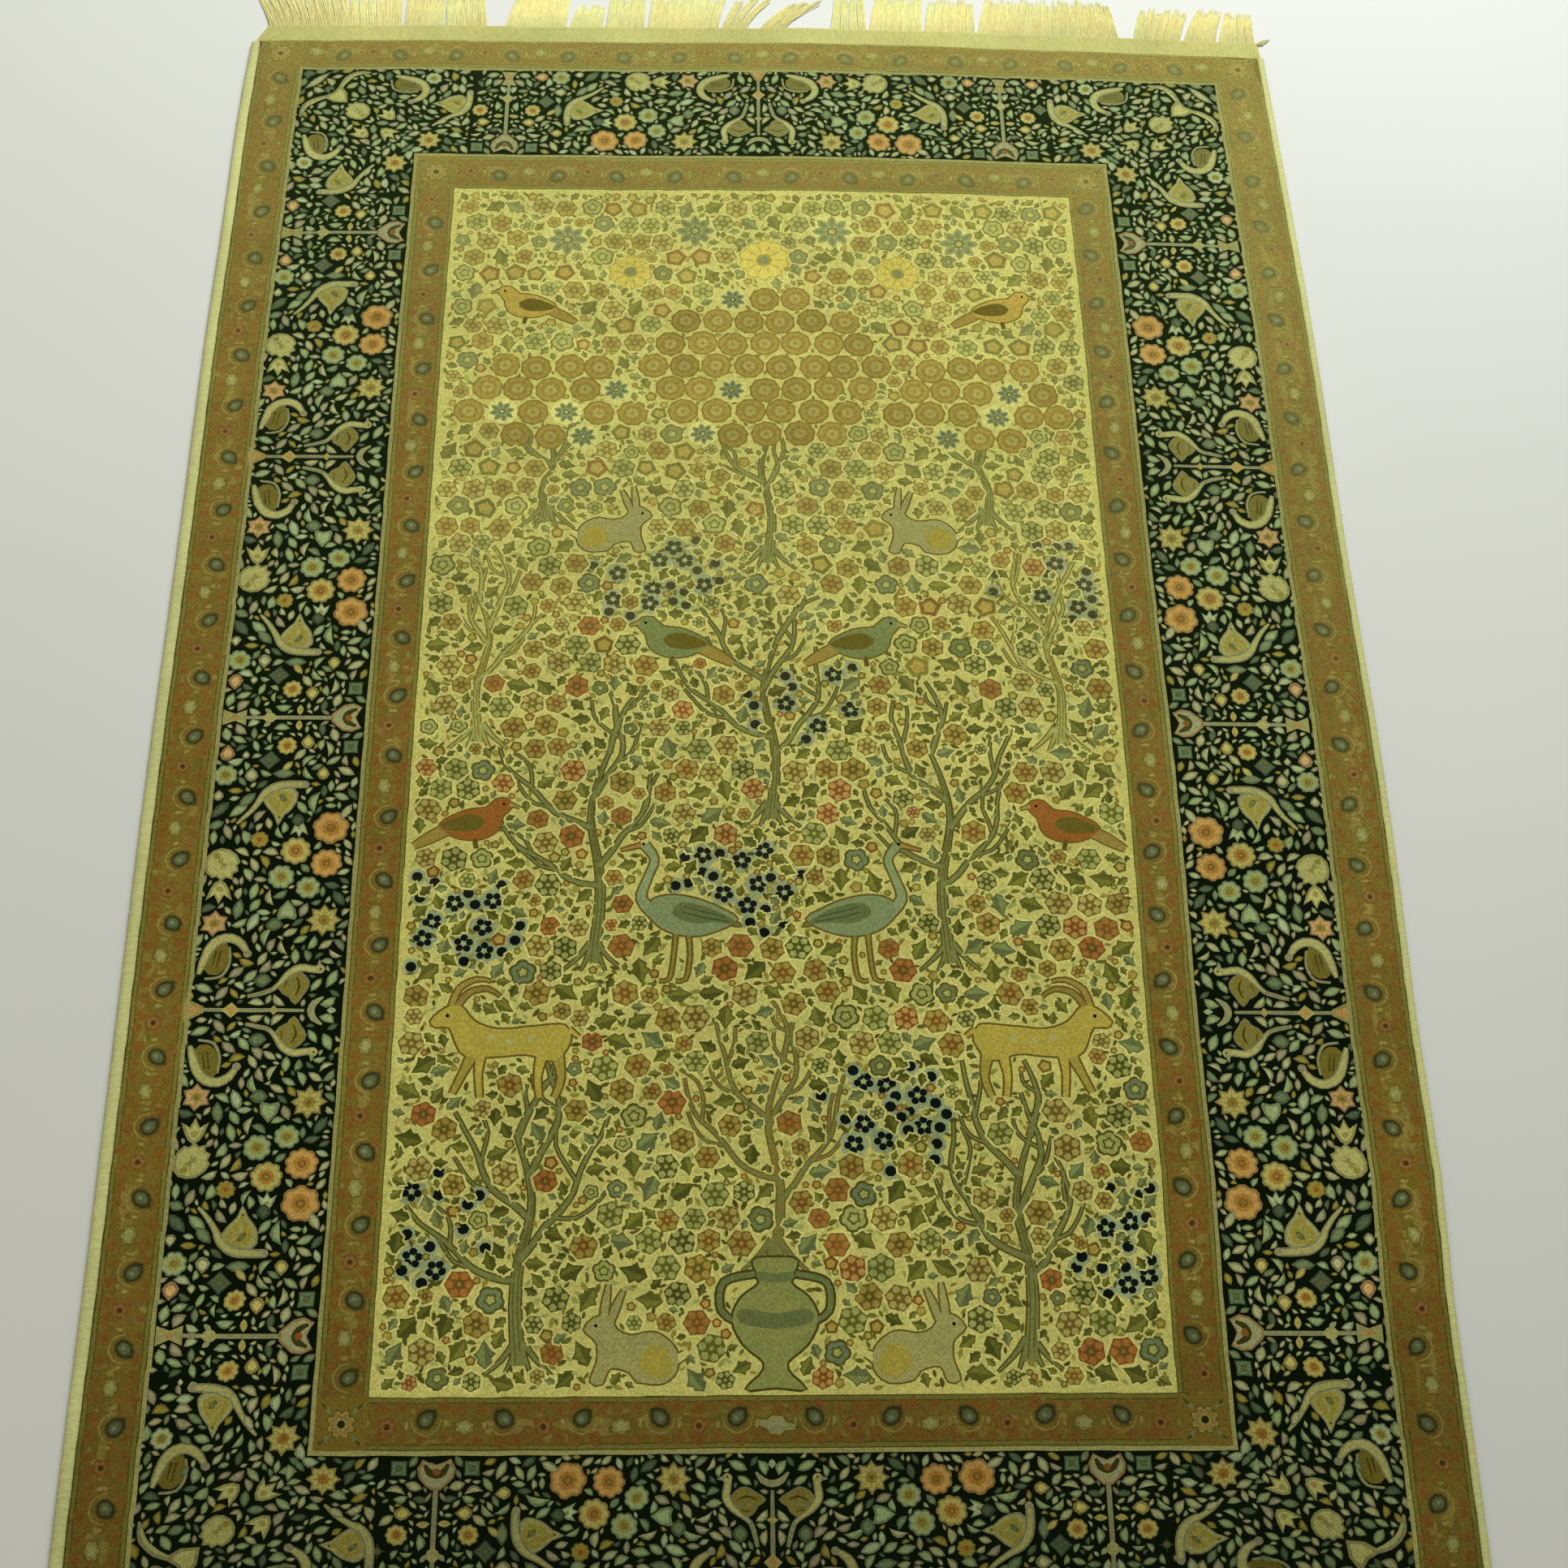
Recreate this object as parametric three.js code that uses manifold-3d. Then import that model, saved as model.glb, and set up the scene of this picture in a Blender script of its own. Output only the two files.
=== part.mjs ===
// A turkish rug lying flat: a pile body, an overcast cord along each side, and at each end a
// flat woven band whose warps run on as a fringe of combed locks.
// Millimetres, +Z up. The rug lies on z = 0, its length runs along Y and its width along X.
import * as THREE from 'three';
import Module from 'manifold-3d';
import { mergeVertices } from 'three/addons/utils/BufferGeometryUtils.js';

const wasm = await Module();
wasm.setup();

// Driving dimensions
const rugWidth = 1220; // over both side cords, before the uneven edge is added
const pileLength = 1830; // along the side cords
const pileThickness = 7;
const pileEase = 1.2; // how far the clipped pile rounds in at its upper edge
const pieceGap = 0.3;
const outlineStep = 61; // spacing of the outline's points

// Side cords, and how far in from each the flat woven end starts and is drawn in by its fringe
const leftCord = { side: -1, column: 'left', width: 12, height: 6, bandInset: 4, drawnIn: 14 };
const rightCord = { side: 1, column: 'right', width: 7.5, height: 5.4, bandInset: 3, drawnIn: 3 };

const bandDepth = 28; // flat woven end between the pile and the fringe
const bandThickness = 2.6;

const lockPitch = 9.4;
const lockRoot = { width: 8.6, height: 2.2, sunk: 3 };
const lockMiddle = { width: 7.4, height: 1.9, along: 0.55 };
const lockTip = { width: 4.4, height: 1.0 };
const lockCrown = 0.86; // a lock's upper face as a share of its lower one
const leanPower = 1.25; // how late along its length a lock bends aside

// How far each side stands out from a straight line, by distance from the far end
const sideBow = [
  { fromTop: 0, left: -6.5, right: -6.5 },
  { fromTop: 110, left: -1.5, right: -3.5 },
  { fromTop: 280, left: 0.5, right: 1.5 },
  { fromTop: 450, left: 3.5, right: 5 },
  { fromTop: 700, left: 4, right: 6 },
  { fromTop: 950, left: 5.5, right: 10 },
  { fromTop: 1100, left: 5.5, right: 9.5 },
  { fromTop: 1250, left: 4.5, right: 6.5 },
  { fromTop: 1430, left: 3.5, right: 7.5 },
  { fromTop: 1500, left: 3, right: 3 },
  { fromTop: 1700, left: 3, right: 1.5 },
  { fromTop: 1830, left: 1, right: 0 },
];

// How far the pile's far end stands out from a straight line, by distance from its left corner
const farBow = [
  { fromLeft: 0, out: -3 },
  { fromLeft: 180, out: 3 },
  { fromLeft: 400, out: 4.5 },
  { fromLeft: 640, out: 9 },
  { fromLeft: 740, out: 9 },
  { fromLeft: 900, out: 5.5 },
  { fromLeft: 1100, out: 1 },
  { fromLeft: 1220, out: -3 },
];
const nearBow = [
  { fromLeft: 0, out: 0 },
  { fromLeft: 350, out: 2 },
  { fromLeft: 800, out: -1 },
  { fromLeft: 1220, out: 1 },
];

// Bunches of the far fringe, left to right: where their roots start and stop across the rug,
// how far the first and last tips lean to the right, and how long the longest locks are
const farBunches = [
  { from: -584, to: -430, leanFrom: -26, leanTo: -1, reach: 62 },
  { from: -425, to: -380, leanFrom: 1, leanTo: 2, reach: 65 },
  { from: -376, to: -328, leanFrom: -2, leanTo: -5, reach: 61 },
  { from: -306, to: -234, leanFrom: 15, leanTo: 7, reach: 62 },
  { from: -229, to: -191, leanFrom: 10, leanTo: 6, reach: 41 },
  { from: -186, to: -141, leanFrom: 5, leanTo: 3, reach: 58 },
  { from: -136, to: -53, leanFrom: 6, leanTo: 12, reach: 61 },
  { from: -48, to: -20, leanFrom: 22, leanTo: 36, reach: 56 },
  { from: -2, to: 26, leanFrom: 44, leanTo: 50, reach: 50 },
  { from: 84, to: 126, leanFrom: 6, leanTo: -2, reach: 60 },
  { from: 130, to: 193, leanFrom: 9, leanTo: 2, reach: 63 },
  { from: 197, to: 256, leanFrom: 7, leanTo: 2, reach: 60 },
  { from: 261, to: 430, leanFrom: 12, leanTo: -7, reach: 64 },
  { from: 449, to: 504, leanFrom: 12, leanTo: 18, reach: 56 },
  { from: 510, to: 547, leanFrom: 22, leanTo: 16, reach: 58 },
  { from: 553, to: 595, leanFrom: 12, leanTo: 1, reach: 54 },
];
const nearBunches = [
  { from: -592, to: -402, leanFrom: -12, leanTo: 4, reach: 58 },
  { from: -396, to: -176, leanFrom: -3, leanTo: 5, reach: 62 },
  { from: -170, to: 16, leanFrom: 0, leanTo: -4, reach: 59 },
  { from: 22, to: 262, leanFrom: 5, leanTo: -3, reach: 61 },
  { from: 268, to: 440, leanFrom: 3, leanTo: -2, reach: 57 },
  { from: 446, to: 601, leanFrom: 0, leanTo: 12, reach: 60 },
];
const strayLock = { root: 597.5, lean: 25, reach: 14, width: 3 };

// Small even variations of the locks, so that no two neighbours are alike
const reachWaver = { size: 4, turn: 2.4 };
const leanWaver = { size: 1, turn: 1.7 };

// Materials
const pileWool = new THREE.MeshStandardMaterial({ color: 0x8c8a4a, roughness: 0.95, metalness: 0 });
const sideYarn = new THREE.MeshStandardMaterial({ color: 0xc2c288, roughness: 0.9, metalness: 0 });
const endCotton = new THREE.MeshStandardMaterial({ color: 0xe0d67c, roughness: 0.9, metalness: 0 });

// A smooth reading of one column of a table, between its rows
function read(rows, key, column, at) {
  const last = rows.length - 1;
  let next = rows.findIndex((row) => row[key] >= at);
  if (next < 0) next = last;
  next = Math.max(next, 1);
  const slope = (i) => {
    const a = rows[Math.max(i - 1, 0)];
    const b = rows[Math.min(i + 1, last)];
    return (b[column] - a[column]) / (b[key] - a[key]);
  };
  const before = rows[next - 1];
  const after = rows[next];
  const span = after[key] - before[key];
  const t = THREE.MathUtils.clamp((at - before[key]) / span, 0, 1);
  const rise = t * t * (3 - 2 * t);
  const leaving = t * (1 - t) * (1 - t) * span * slope(next - 1);
  const arriving = t * t * (t - 1) * span * slope(next);
  return THREE.MathUtils.lerp(before[column], after[column], rise) + leaving + arriving;
}

function outerSide(cord, y) {
  return cord.side * (rugWidth / 2 + read(sideBow, 'fromTop', cord.column, pileLength / 2 - y));
}

function pileSide(cord, y) {
  return outerSide(cord, y) - cord.side * (cord.width + pieceGap);
}

function pileEnd(end, x) {
  const bow = end === 1 ? farBow : nearBow;
  return end * (pileLength / 2 + read(bow, 'fromLeft', 'out', x + rugWidth / 2));
}

function stepped(from, to, step) {
  const count = Math.max(1, Math.round(Math.abs(to - from) / step));
  return Array.from({ length: count + 1 }, (_, i) => from + ((to - from) * i) / count);
}

const topView = (p) => new THREE.Vector2(p.x, p.y);
const frontView = (p) => new THREE.Vector2(p.x, p.z);

// A closed solid through rings of points, each ring with the same number of points
function loft(drawn, view) {
  const clockwise = THREE.ShapeUtils.isClockWise(drawn[0].map(view));
  const rings = clockwise ? drawn.map((ring) => ring.toReversed()) : drawn;
  const size = rings[0].length;
  const positions = rings.flat().flatMap((p) => [p.x, p.y, p.z]);
  const faces = [];
  for (let r = 0; r + 1 < rings.length; r += 1) {
    for (let i = 0; i < size; i += 1) {
      const a = r * size + i;
      const b = r * size + ((i + 1) % size);
      faces.push([a, b, b + size], [a, b + size, a + size]);
    }
  }
  const top = (rings.length - 1) * size;
  for (const [a, b, c] of THREE.ShapeUtils.triangulateShape(rings[0].map(view), [])) {
    faces.push([a, c, b]);
  }
  for (const [a, b, c] of THREE.ShapeUtils.triangulateShape(rings.at(-1).map(view), [])) {
    faces.push([top + a, top + b, top + c]);
  }
  const corner = (i) => new THREE.Vector3().fromArray(positions, 3 * i);
  const volume = faces.reduce(
    (sum, [a, b, c]) => sum + corner(a).dot(corner(b).cross(corner(c))),
    0,
  );
  const outward = volume > 0 ? faces : faces.map(([a, b, c]) => [a, c, b]);
  const geometry = new THREE.BufferGeometry();
  geometry.setAttribute('position', new THREE.Float32BufferAttribute(positions, 3));
  geometry.setIndex(outward.flat());
  return geometry;
}

function toManifold(geometry) {
  const merged = mergeVertices(geometry);
  return new wasm.Manifold(
    new wasm.Mesh({
      numProp: 3,
      vertProperties: new Float32Array(merged.attributes.position.array),
      triVerts: new Uint32Array(merged.index.array),
    }),
  );
}

function fromManifold(solid) {
  const mesh = solid.getMesh();
  const geometry = new THREE.BufferGeometry();
  geometry.setAttribute('position', new THREE.BufferAttribute(mesh.vertProperties, 3));
  geometry.setIndex(new THREE.BufferAttribute(mesh.triVerts, 1));
  return geometry;
}

// Pile body: a flat slab with the uneven outline and a rounded upper edge
function pileRing(z, inset) {
  const corner = pileLength / 2;
  const sides = stepped(-corner, corner, outlineStep);
  const left = sides.map((y) => new THREE.Vector3(pileSide(leftCord, y), y, z));
  const right = sides.map((y) => new THREE.Vector3(pileSide(rightCord, y), y, z));
  for (const edge of [left, right]) {
    edge[0].y = pileEnd(-1, edge[0].x);
    edge.at(-1).y = pileEnd(1, edge.at(-1).x);
  }
  const across = stepped(0, 1, outlineStep / rugWidth).slice(1, -1);
  const end = (which, index) =>
    across.map((t) => {
      const x = THREE.MathUtils.lerp(left.at(index).x, right.at(index).x, t);
      return new THREE.Vector3(x, pileEnd(which, x), z);
    });
  const loop = [...end(-1, 0), ...right, ...end(1, -1).reverse(), ...left.reverse()];
  const shrink = (p) => {
    p.x -= Math.sign(p.x) * Math.min(inset, Math.abs(p.x));
    p.y -= Math.sign(p.y) * Math.min(inset, Math.abs(p.y));
    return p;
  };
  return inset > 0 ? loop.map(shrink) : loop;
}

function makePile() {
  const shoulder = pileThickness - pileEase;
  return loft([pileRing(0, 0), pileRing(shoulder, 0), pileRing(pileThickness, pileEase)], topView);
}

// Side cord: a wrapped cord of flattened round section that follows the uneven side
function cordSection(cord) {
  const half = cord.width / 2;
  const profile = [
    { out: 0.55, up: 0 },
    { out: 1, up: 0.28 },
    { out: 1, up: 0.62 },
    { out: 0.55, up: 1 },
    { out: -0.55, up: 1 },
    { out: -1, up: 0.62 },
    { out: -1, up: 0.28 },
    { out: -0.55, up: 0 },
  ];
  return profile.map((corner) => ({ out: corner.out * half, up: corner.up * cord.height }));
}

function makeCord(cord) {
  const section = cordSection(cord);
  const corner = pileLength / 2;
  const rings = stepped(-corner, corner, outlineStep).map((y, i, all) => {
    const middle = outerSide(cord, y) - (cord.side * cord.width) / 2;
    const end = i === 0 ? -1 : 1;
    const atEnd = i === 0 || i === all.length - 1;
    return section.map(({ out, up }) => {
      const x = middle + out;
      return new THREE.Vector3(x, atEnd ? pileEnd(end, x) : y, up);
    });
  });
  return loft(rings, frontView);
}

// Woven band at one end, parted from the pile by the gap
function bandSide(cord, end, inset) {
  return outerSide(cord, (end * pileLength) / 2) - cord.side * inset;
}

function fringeLine(end, x) {
  return pileEnd(end, x) + end * (pieceGap + bandDepth);
}

function bandRing(end, z) {
  const edge = (drawn, lineAt) => {
    const [from, to] = [leftCord, rightCord].map((cord) =>
      bandSide(cord, end, cord.bandInset + drawn * cord.drawnIn),
    );
    return stepped(from, to, outlineStep).map((x) => new THREE.Vector3(x, lineAt(x), z));
  };
  const inner = edge(0, (x) => pileEnd(end, x) + end * pieceGap);
  const outer = edge(1, (x) => fringeLine(end, x));
  return [...inner, ...outer.reverse()];
}

// Lock: four sided, flat on the floor, narrowing to its tip as it leans aside
function lockRing(end, place, shape) {
  const half = shape.width / 2;
  const y = fringeLine(end, place.root) + end * place.out;
  const lower = [-half, half].map((dx) => new THREE.Vector3(place.x + dx, y, 0));
  const upper = [half, -half].map(
    (dx) => new THREE.Vector3(place.x + dx * lockCrown, y, shape.height),
  );
  return [...lower, ...upper];
}

function makeLock(end, { root, lean, reach, width = lockRoot.width }) {
  const slim = width / lockRoot.width;
  const ring = (along, shape) => {
    const place = { root, x: root + lean * along ** leanPower, out: along * reach };
    return lockRing(end, place, { width: shape.width * slim, height: shape.height });
  };
  const sunk = { root, x: root, out: -lockRoot.sunk };
  return loft(
    [
      lockRing(end, sunk, { width, height: lockRoot.height }),
      ring(lockMiddle.along, lockMiddle),
      ring(1, lockTip),
    ],
    frontView,
  );
}

function locksOf(bunches) {
  return bunches.flatMap((bunch) => {
    const gaps = Math.max(1, Math.round((bunch.to - bunch.from) / lockPitch) - 1);
    const first = bunch.from + lockRoot.width / 2;
    const last = bunch.to - lockRoot.width / 2;
    return Array.from({ length: gaps + 1 }, (_, i) => {
      const t = i / gaps;
      const root = THREE.MathUtils.lerp(first, last, t);
      const waver = root / lockPitch;
      const reach = bunch.reach - reachWaver.size * (1 + Math.sin(waver * reachWaver.turn));
      const fullLean =
        THREE.MathUtils.lerp(bunch.leanFrom, bunch.leanTo, t) +
        leanWaver.size * Math.sin(waver * leanWaver.turn);
      return { root, reach, lean: fullLean * (reach / bunch.reach) ** leanPower };
    });
  });
}

function makeEnd(end, locks) {
  const band = loft([bandRing(end, 0), bandRing(end, bandThickness)], topView);
  const joined = locks.reduce(
    (solid, lock) => solid.add(toManifold(makeLock(end, lock))),
    toManifold(band),
  );
  return fromManifold(joined);
}

const group = new THREE.Group();

function addPiece(name, geometry, material) {
  geometry.computeVertexNormals();
  const piece = new THREE.Mesh(geometry, material);
  piece.name = name;
  group.add(piece);
}

addPiece('pile', makePile(), pileWool);
addPiece('selvedge_left', makeCord(leftCord), sideYarn);
addPiece('selvedge_right', makeCord(rightCord), sideYarn);
addPiece('end_far', makeEnd(1, [...locksOf(farBunches), strayLock]), endCotton);
addPiece('end_near', makeEnd(-1, locksOf(nearBunches)), endCotton);

// The origin is the middle of the rug's own box, on the floor
const middle = new THREE.Box3().setFromObject(group).getCenter(new THREE.Vector3());
group.position.set(-middle.x, -middle.y, 0);

export default group;
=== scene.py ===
"""A turkish rug with a garden field, a dark leafy border, side cords and combed fringes.

The pattern is drawn as flat shapes in millimetres, from the rug's middle with +Y towards the far end.
The shapes are laid over each other in painter's order, cut into one mesh for each panel of the pile,
and bent to the uneven outline of the rug in the frame.
"""

import math
import random

import bmesh
import bpy
import numpy as np
from mathutils import Matrix, Vector
from mathutils.geometry import delaunay_2d_cdt


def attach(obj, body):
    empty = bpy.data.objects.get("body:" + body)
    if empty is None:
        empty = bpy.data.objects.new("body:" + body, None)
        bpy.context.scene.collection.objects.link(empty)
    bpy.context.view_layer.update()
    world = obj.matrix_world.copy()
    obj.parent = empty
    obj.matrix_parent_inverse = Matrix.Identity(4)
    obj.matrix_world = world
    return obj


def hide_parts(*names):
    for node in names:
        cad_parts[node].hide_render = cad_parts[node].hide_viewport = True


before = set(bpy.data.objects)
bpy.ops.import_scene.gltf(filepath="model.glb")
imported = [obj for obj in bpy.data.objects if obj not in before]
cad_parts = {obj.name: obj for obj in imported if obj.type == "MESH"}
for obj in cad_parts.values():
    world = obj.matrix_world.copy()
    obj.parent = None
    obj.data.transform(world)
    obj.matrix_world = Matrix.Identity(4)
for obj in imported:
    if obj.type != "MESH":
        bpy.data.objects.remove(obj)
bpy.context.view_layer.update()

# Sizes in millimetres, from the rug's middle

MM = 0.001
PLAN_SHIFT = (-3.82, -3.69)  # where the pattern's middle lies in the frame
FIELD = {"left": -354, "right": 354, "far": 686.4, "near": -694.9}
INNER_LINE = {"left": -402, "right": 402, "far": 737.6, "near": -744}
OUTER_LINE = {"left": -548.5, "right": 550.7, "far": 874, "near": -876}
LINE_WIDTH = 4
SIDE_AXES = (620, 309, -13, -331, -641)  # cups and birds take turns along the border
END_AXES = {"far": (-300, -4, 285), "near": (-292, -4, 287)}
UNIT_LENGTH = 312  # from a bird axis to a cup axis
UNIT_DEPTH = 147  # across the border
PILE_TOP = 7.0
KNOT = (1.5, 1.7)  # across and along the rug

# Dyes as they show under the light, red, green and blue from 0 to 255

DYES = {
    "navy": (10, 18, 4),
    # navy_far_glare is the navy with painted glare, for the far end of the border
    "navy_far_glare": (24, 34, 9),
    # painted_haze is no dye: it is the colour of the painted glare mixed into the far border
    "painted_haze": (118, 132, 90),
    "cream": (154, 153, 105),
    "pale": (134, 147, 97),
    "white_green": (150, 160, 114),
    "grey_green": (104, 118, 78),
    "slate": (76, 88, 60),
    "sea_green": (90, 110, 72),
    "blush": (172, 138, 86),
    "rose_grey": (140, 134, 98),
    "orange": (172, 134, 70),
    "ember": (148, 108, 42),
    "rust": (126, 80, 32),
    "gold": (162, 150, 80),
    "gold_cream": (158, 154, 90),
    "olive_gold": (134, 122, 50),
    "olive": (94, 84, 30),
    "olive_dark": (60, 56, 20),
    "guard": (118, 99, 38),
    "guard_red": (124, 80, 32),
    "guard_line": (92, 84, 28),
    "guard_vine": (156, 141, 71),
    "guard_green": (112, 106, 46),
    # guard_far_glare is the colour of the painted glare on the far guards
    "guard_far_glare": (150, 146, 82),
    "edge_line": (140, 136, 80),
    "teal": (100, 106, 68),
    "teal_dark": (62, 60, 28),
    "field": (185, 178, 97),
    "field_light": (194, 187, 108),
    "leaf_green": (97, 97, 37),
    "leaf_dark": (80, 82, 30),
    "leaf_blue": (102, 110, 62),
    "brown": (114, 95, 36),
    "brown_light": (150, 130, 58),
    "trunk": (114, 117, 62),
    "trunk_edge": (80, 76, 30),
    "halo": (146, 150, 80),
    "straw": (186, 168, 70),
    "rose_red": (152, 102, 46),
    "ink": (14, 20, 16),
}


def tone(name, light=1.0):
    """A dye as a linear colour, lighter or darker by a factor on its shown value."""
    shown = [min(1.0, part / 255 * light) for part in DYES[name]]
    return tuple(part / 12.92 if part <= 0.04045 else ((part + 0.055) / 1.055) ** 2.4 for part in shown)


# Outlines, each an array of points about the origin


def along(angle, length=1.0):
    return np.array([math.cos(angle) * length, math.sin(angle) * length])


def ring(radii, start=0.0):
    """Points about the origin at these radii, evenly turned."""
    angles = start + np.arange(len(radii)) * (2 * math.pi / len(radii))
    return np.column_stack([np.cos(angles), np.sin(angles)]) * np.asarray(radii)[:, None]


def disc(radius, sides=10, flat=1.0):
    return ring([radius] * sides) * (1, flat)


def leaf_outline(length, width, bend=0.0, steps=4):
    """A pointed oval along +x, its middle moved sideways by bend."""
    t = np.linspace(0, 1, steps + 1)
    half = width / 2 * np.sin(math.pi * t) ** 0.8
    middle = bend * 4 * t * (1 - t) - bend / 2
    x = (t - 0.5) * length
    upper = np.column_stack([x, middle + half])
    lower = np.column_stack([x, middle - half])[::-1]
    return np.vstack([upper, lower[1:-1]])


def petal_ring(count, radius, notch=0.22, start=0.0, per=3):
    """A scalloped disc: count round petals with notches between them."""
    turn = np.arange(count * per) / per * math.pi
    return ring(radius * (1 - notch + notch * np.abs(np.sin(turn)) ** 0.7), start)


def star_outline(points, radius, inner=0.55, start=0.0):
    return ring([radius, radius * inner] * points, start)


def moved(outline, x=0.0, y=0.0, turn=0.0, size=1.0):
    """An outline turned by degrees, scaled and moved."""
    angle = math.radians(turn)
    c, s = math.cos(angle) * size, math.sin(angle) * size
    return np.asarray(outline) @ np.array([[c, s], [-s, c]]) + (x, y)


def curve(points, step=6.0, closed=False):
    """A smooth line through points, with about one point every step millimetres."""
    p = np.asarray(points, float)
    count = len(p)
    found = []
    for i in range(count if closed else count - 1):
        a, b, c, d = (p[j % count] if closed else p[min(max(j, 0), count - 1)] for j in range(i - 1, i + 3))
        parts = max(2, round(float(np.linalg.norm(c - b)) / step))
        t = (np.arange(parts) / parts)[:, None]
        bend = (2 * b) + (c - a) * t + (2 * a - 5 * b + 4 * c - d) * t**2 + (3 * b - a - 3 * c + d) * t**3
        found.append(bend / 2)
    if not closed:
        found.append(p[-1:])
    return np.vstack(found)


def ribbon(points, widths):
    """The outline of a line drawn with a width at each of its points."""
    p = np.asarray(points, float)
    w = np.interp(np.linspace(0, 1, len(p)), np.linspace(0, 1, len(widths)), widths) / 2
    ahead = np.gradient(p, axis=0)
    ahead /= np.maximum(np.linalg.norm(ahead, axis=1), 1e-9)[:, None]
    side = np.column_stack([-ahead[:, 1], ahead[:, 0]]) * w[:, None]
    return np.vstack([p + side, (p - side)[::-1]])


def stroke(points, widths, step=5):
    """The outline of a smooth line through points, drawn with these widths along it."""
    return ribbon(curve(points, step), widths)


def both_sides(start, side, end):
    """A symmetric outline about the x axis: from start along one side to end, and back."""
    return np.array([(start, 0.0), *side, (end, 0.0), *((x, -y) for x, y in side[::-1])])


def swell(outline, by):
    """An outline pushed outwards by a few millimetres."""
    p = np.asarray(outline, float)
    edge = np.roll(p, -1, axis=0) - np.roll(p, 1, axis=0)
    edge /= np.maximum(np.linalg.norm(edge, axis=1), 1e-9)[:, None]
    out = np.column_stack([edge[:, 1], -edge[:, 0]])
    return p + out * (by if area_of(p) > 0 else -by)


def resized(outline, size):
    """An outline scaled about its own middle."""
    middle = outline.mean(axis=0)
    return (outline - middle) * size + middle


def area_of(outline):
    x, y = np.asarray(outline).T
    return 0.5 * float(np.sum(x * np.roll(y, -1) - np.roll(x, -1) * y))


def bar(x0, y0, x1, y1, step=20.0):
    """A rectangle with points along its sides, so that it can bend."""
    nx = max(1, round((x1 - x0) / step))
    ny = max(1, round((y1 - y0) / step))
    xs = np.linspace(x0, x1, nx + 1)
    ys = np.linspace(y0, y1, ny + 1)
    low = np.column_stack([xs, np.full(nx + 1, y0)])
    right = np.column_stack([np.full(ny + 1, x1), ys])
    high = np.column_stack([xs[::-1], np.full(nx + 1, y1)])
    left = np.column_stack([np.full(ny + 1, x0), ys[::-1]])
    return np.vstack([low[:-1], right[:-1], high[:-1], left[:-1]])


class Design:
    """Shapes in painter's order, each a linear colour and an outline."""

    def __init__(self, *layers):
        """Each layer is a dye, how light it is and an outline."""
        self.shapes = []
        for dye, light, outline in layers:
            self.add(tone(dye, light), outline)

    def add(self, colour, outline):
        self.shapes.append((colour, np.asarray(outline, float)))

    def put(self, other, place=None):
        """Adds another design, each of its outlines passed through place."""
        for colour, outline in other.shapes:
            self.add(colour, place(outline) if place else outline)

    def at(self, other, x, y, turn=0.0, size=1.0, mirror=False):
        flip = (-1, 1) if mirror else (1, 1)
        self.put(other, lambda outline: moved(outline * flip, x, y, turn, size))


class Ground:
    """Which cells of a panel are still bare."""

    def __init__(self, low, high, cell):
        self.low = np.asarray(low, float)
        self.cell = cell
        self.size = np.ceil((np.asarray(high, float) - self.low) / cell).astype(int)
        self.taken = np.zeros(self.size, bool)

    def under(self, outline):
        """The part of the grid under an outline's box, and which of its cells the outline covers."""
        p = (np.asarray(outline, float) - self.low) / self.cell
        i0, j0 = np.maximum(np.floor(p.min(axis=0)).astype(int), 0)
        i1, j1 = np.minimum(np.ceil(p.max(axis=0)).astype(int), self.size)
        if i0 >= i1 or j0 >= j1:
            return None, None
        gx, gy = np.meshgrid(np.arange(i0, i1) + 0.5, np.arange(j0, j1) + 0.5, indexing="ij")
        inside = np.zeros(gx.shape, bool)
        q = np.roll(p, -1, axis=0)
        for (ax, ay), (bx, by) in zip(p, q):
            if ay != by:
                crosses = ((ay > gy) != (by > gy)) & (gx < (bx - ax) * (gy - ay) / (by - ay) + ax)
                inside ^= crosses
        return (slice(i0, i1), slice(j0, j1)), inside

    def cover(self, outline, gap=0.0):
        window, inside = self.under(swell(outline, gap) if gap else outline)
        if window:
            self.taken[window] |= inside

    def bare(self, outline, gap=0.0, spare=0):
        """True where the outline, grown by gap, lies inside the panel on bare cells."""
        grown = swell(outline, gap) if gap else np.asarray(outline)
        p = (grown - self.low) / self.cell
        if p.min() < 0 or (p > self.size).any():
            return False
        window, inside = self.under(grown)
        return bool(window) and int((self.taken[window] & inside).sum()) <= spare

    def pick(self, rng):
        """A random bare place."""
        if not hasattr(self, "open") or rng.random() < 0.02:
            self.open = np.argwhere(~self.taken)
        i, j = self.open[rng.randrange(len(self.open))]
        return self.low + (np.array([i, j]) + 0.5) * self.cell


# Motifs of the border, each about the origin along +x, size across

SMALL_LEAF = 12  # a leaf below this size is drawn with fewer points


def leaf_motif(size, dye, width=0.47, bend=0.0):
    steps = 3 if size < SMALL_LEAF else 4
    return Design(
        (dye, 0.80, leaf_outline(size, size * width, bend * size, steps)),
        (dye, 1.07, leaf_outline(size * 0.74, size * width * 0.64, bend * size * 0.5, steps - 1)),
    )


def curl_motif(size, dye):
    return leaf_motif(size, dye, 0.36, 0.22)


def round_motif(size, dye):
    return Design(
        (dye, 0.74, leaf_outline(size, size * 0.82, 0, 5)),
        (dye, 1.0, leaf_outline(size * 0.66, size * 0.5, 0, 4)),
    )


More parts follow.
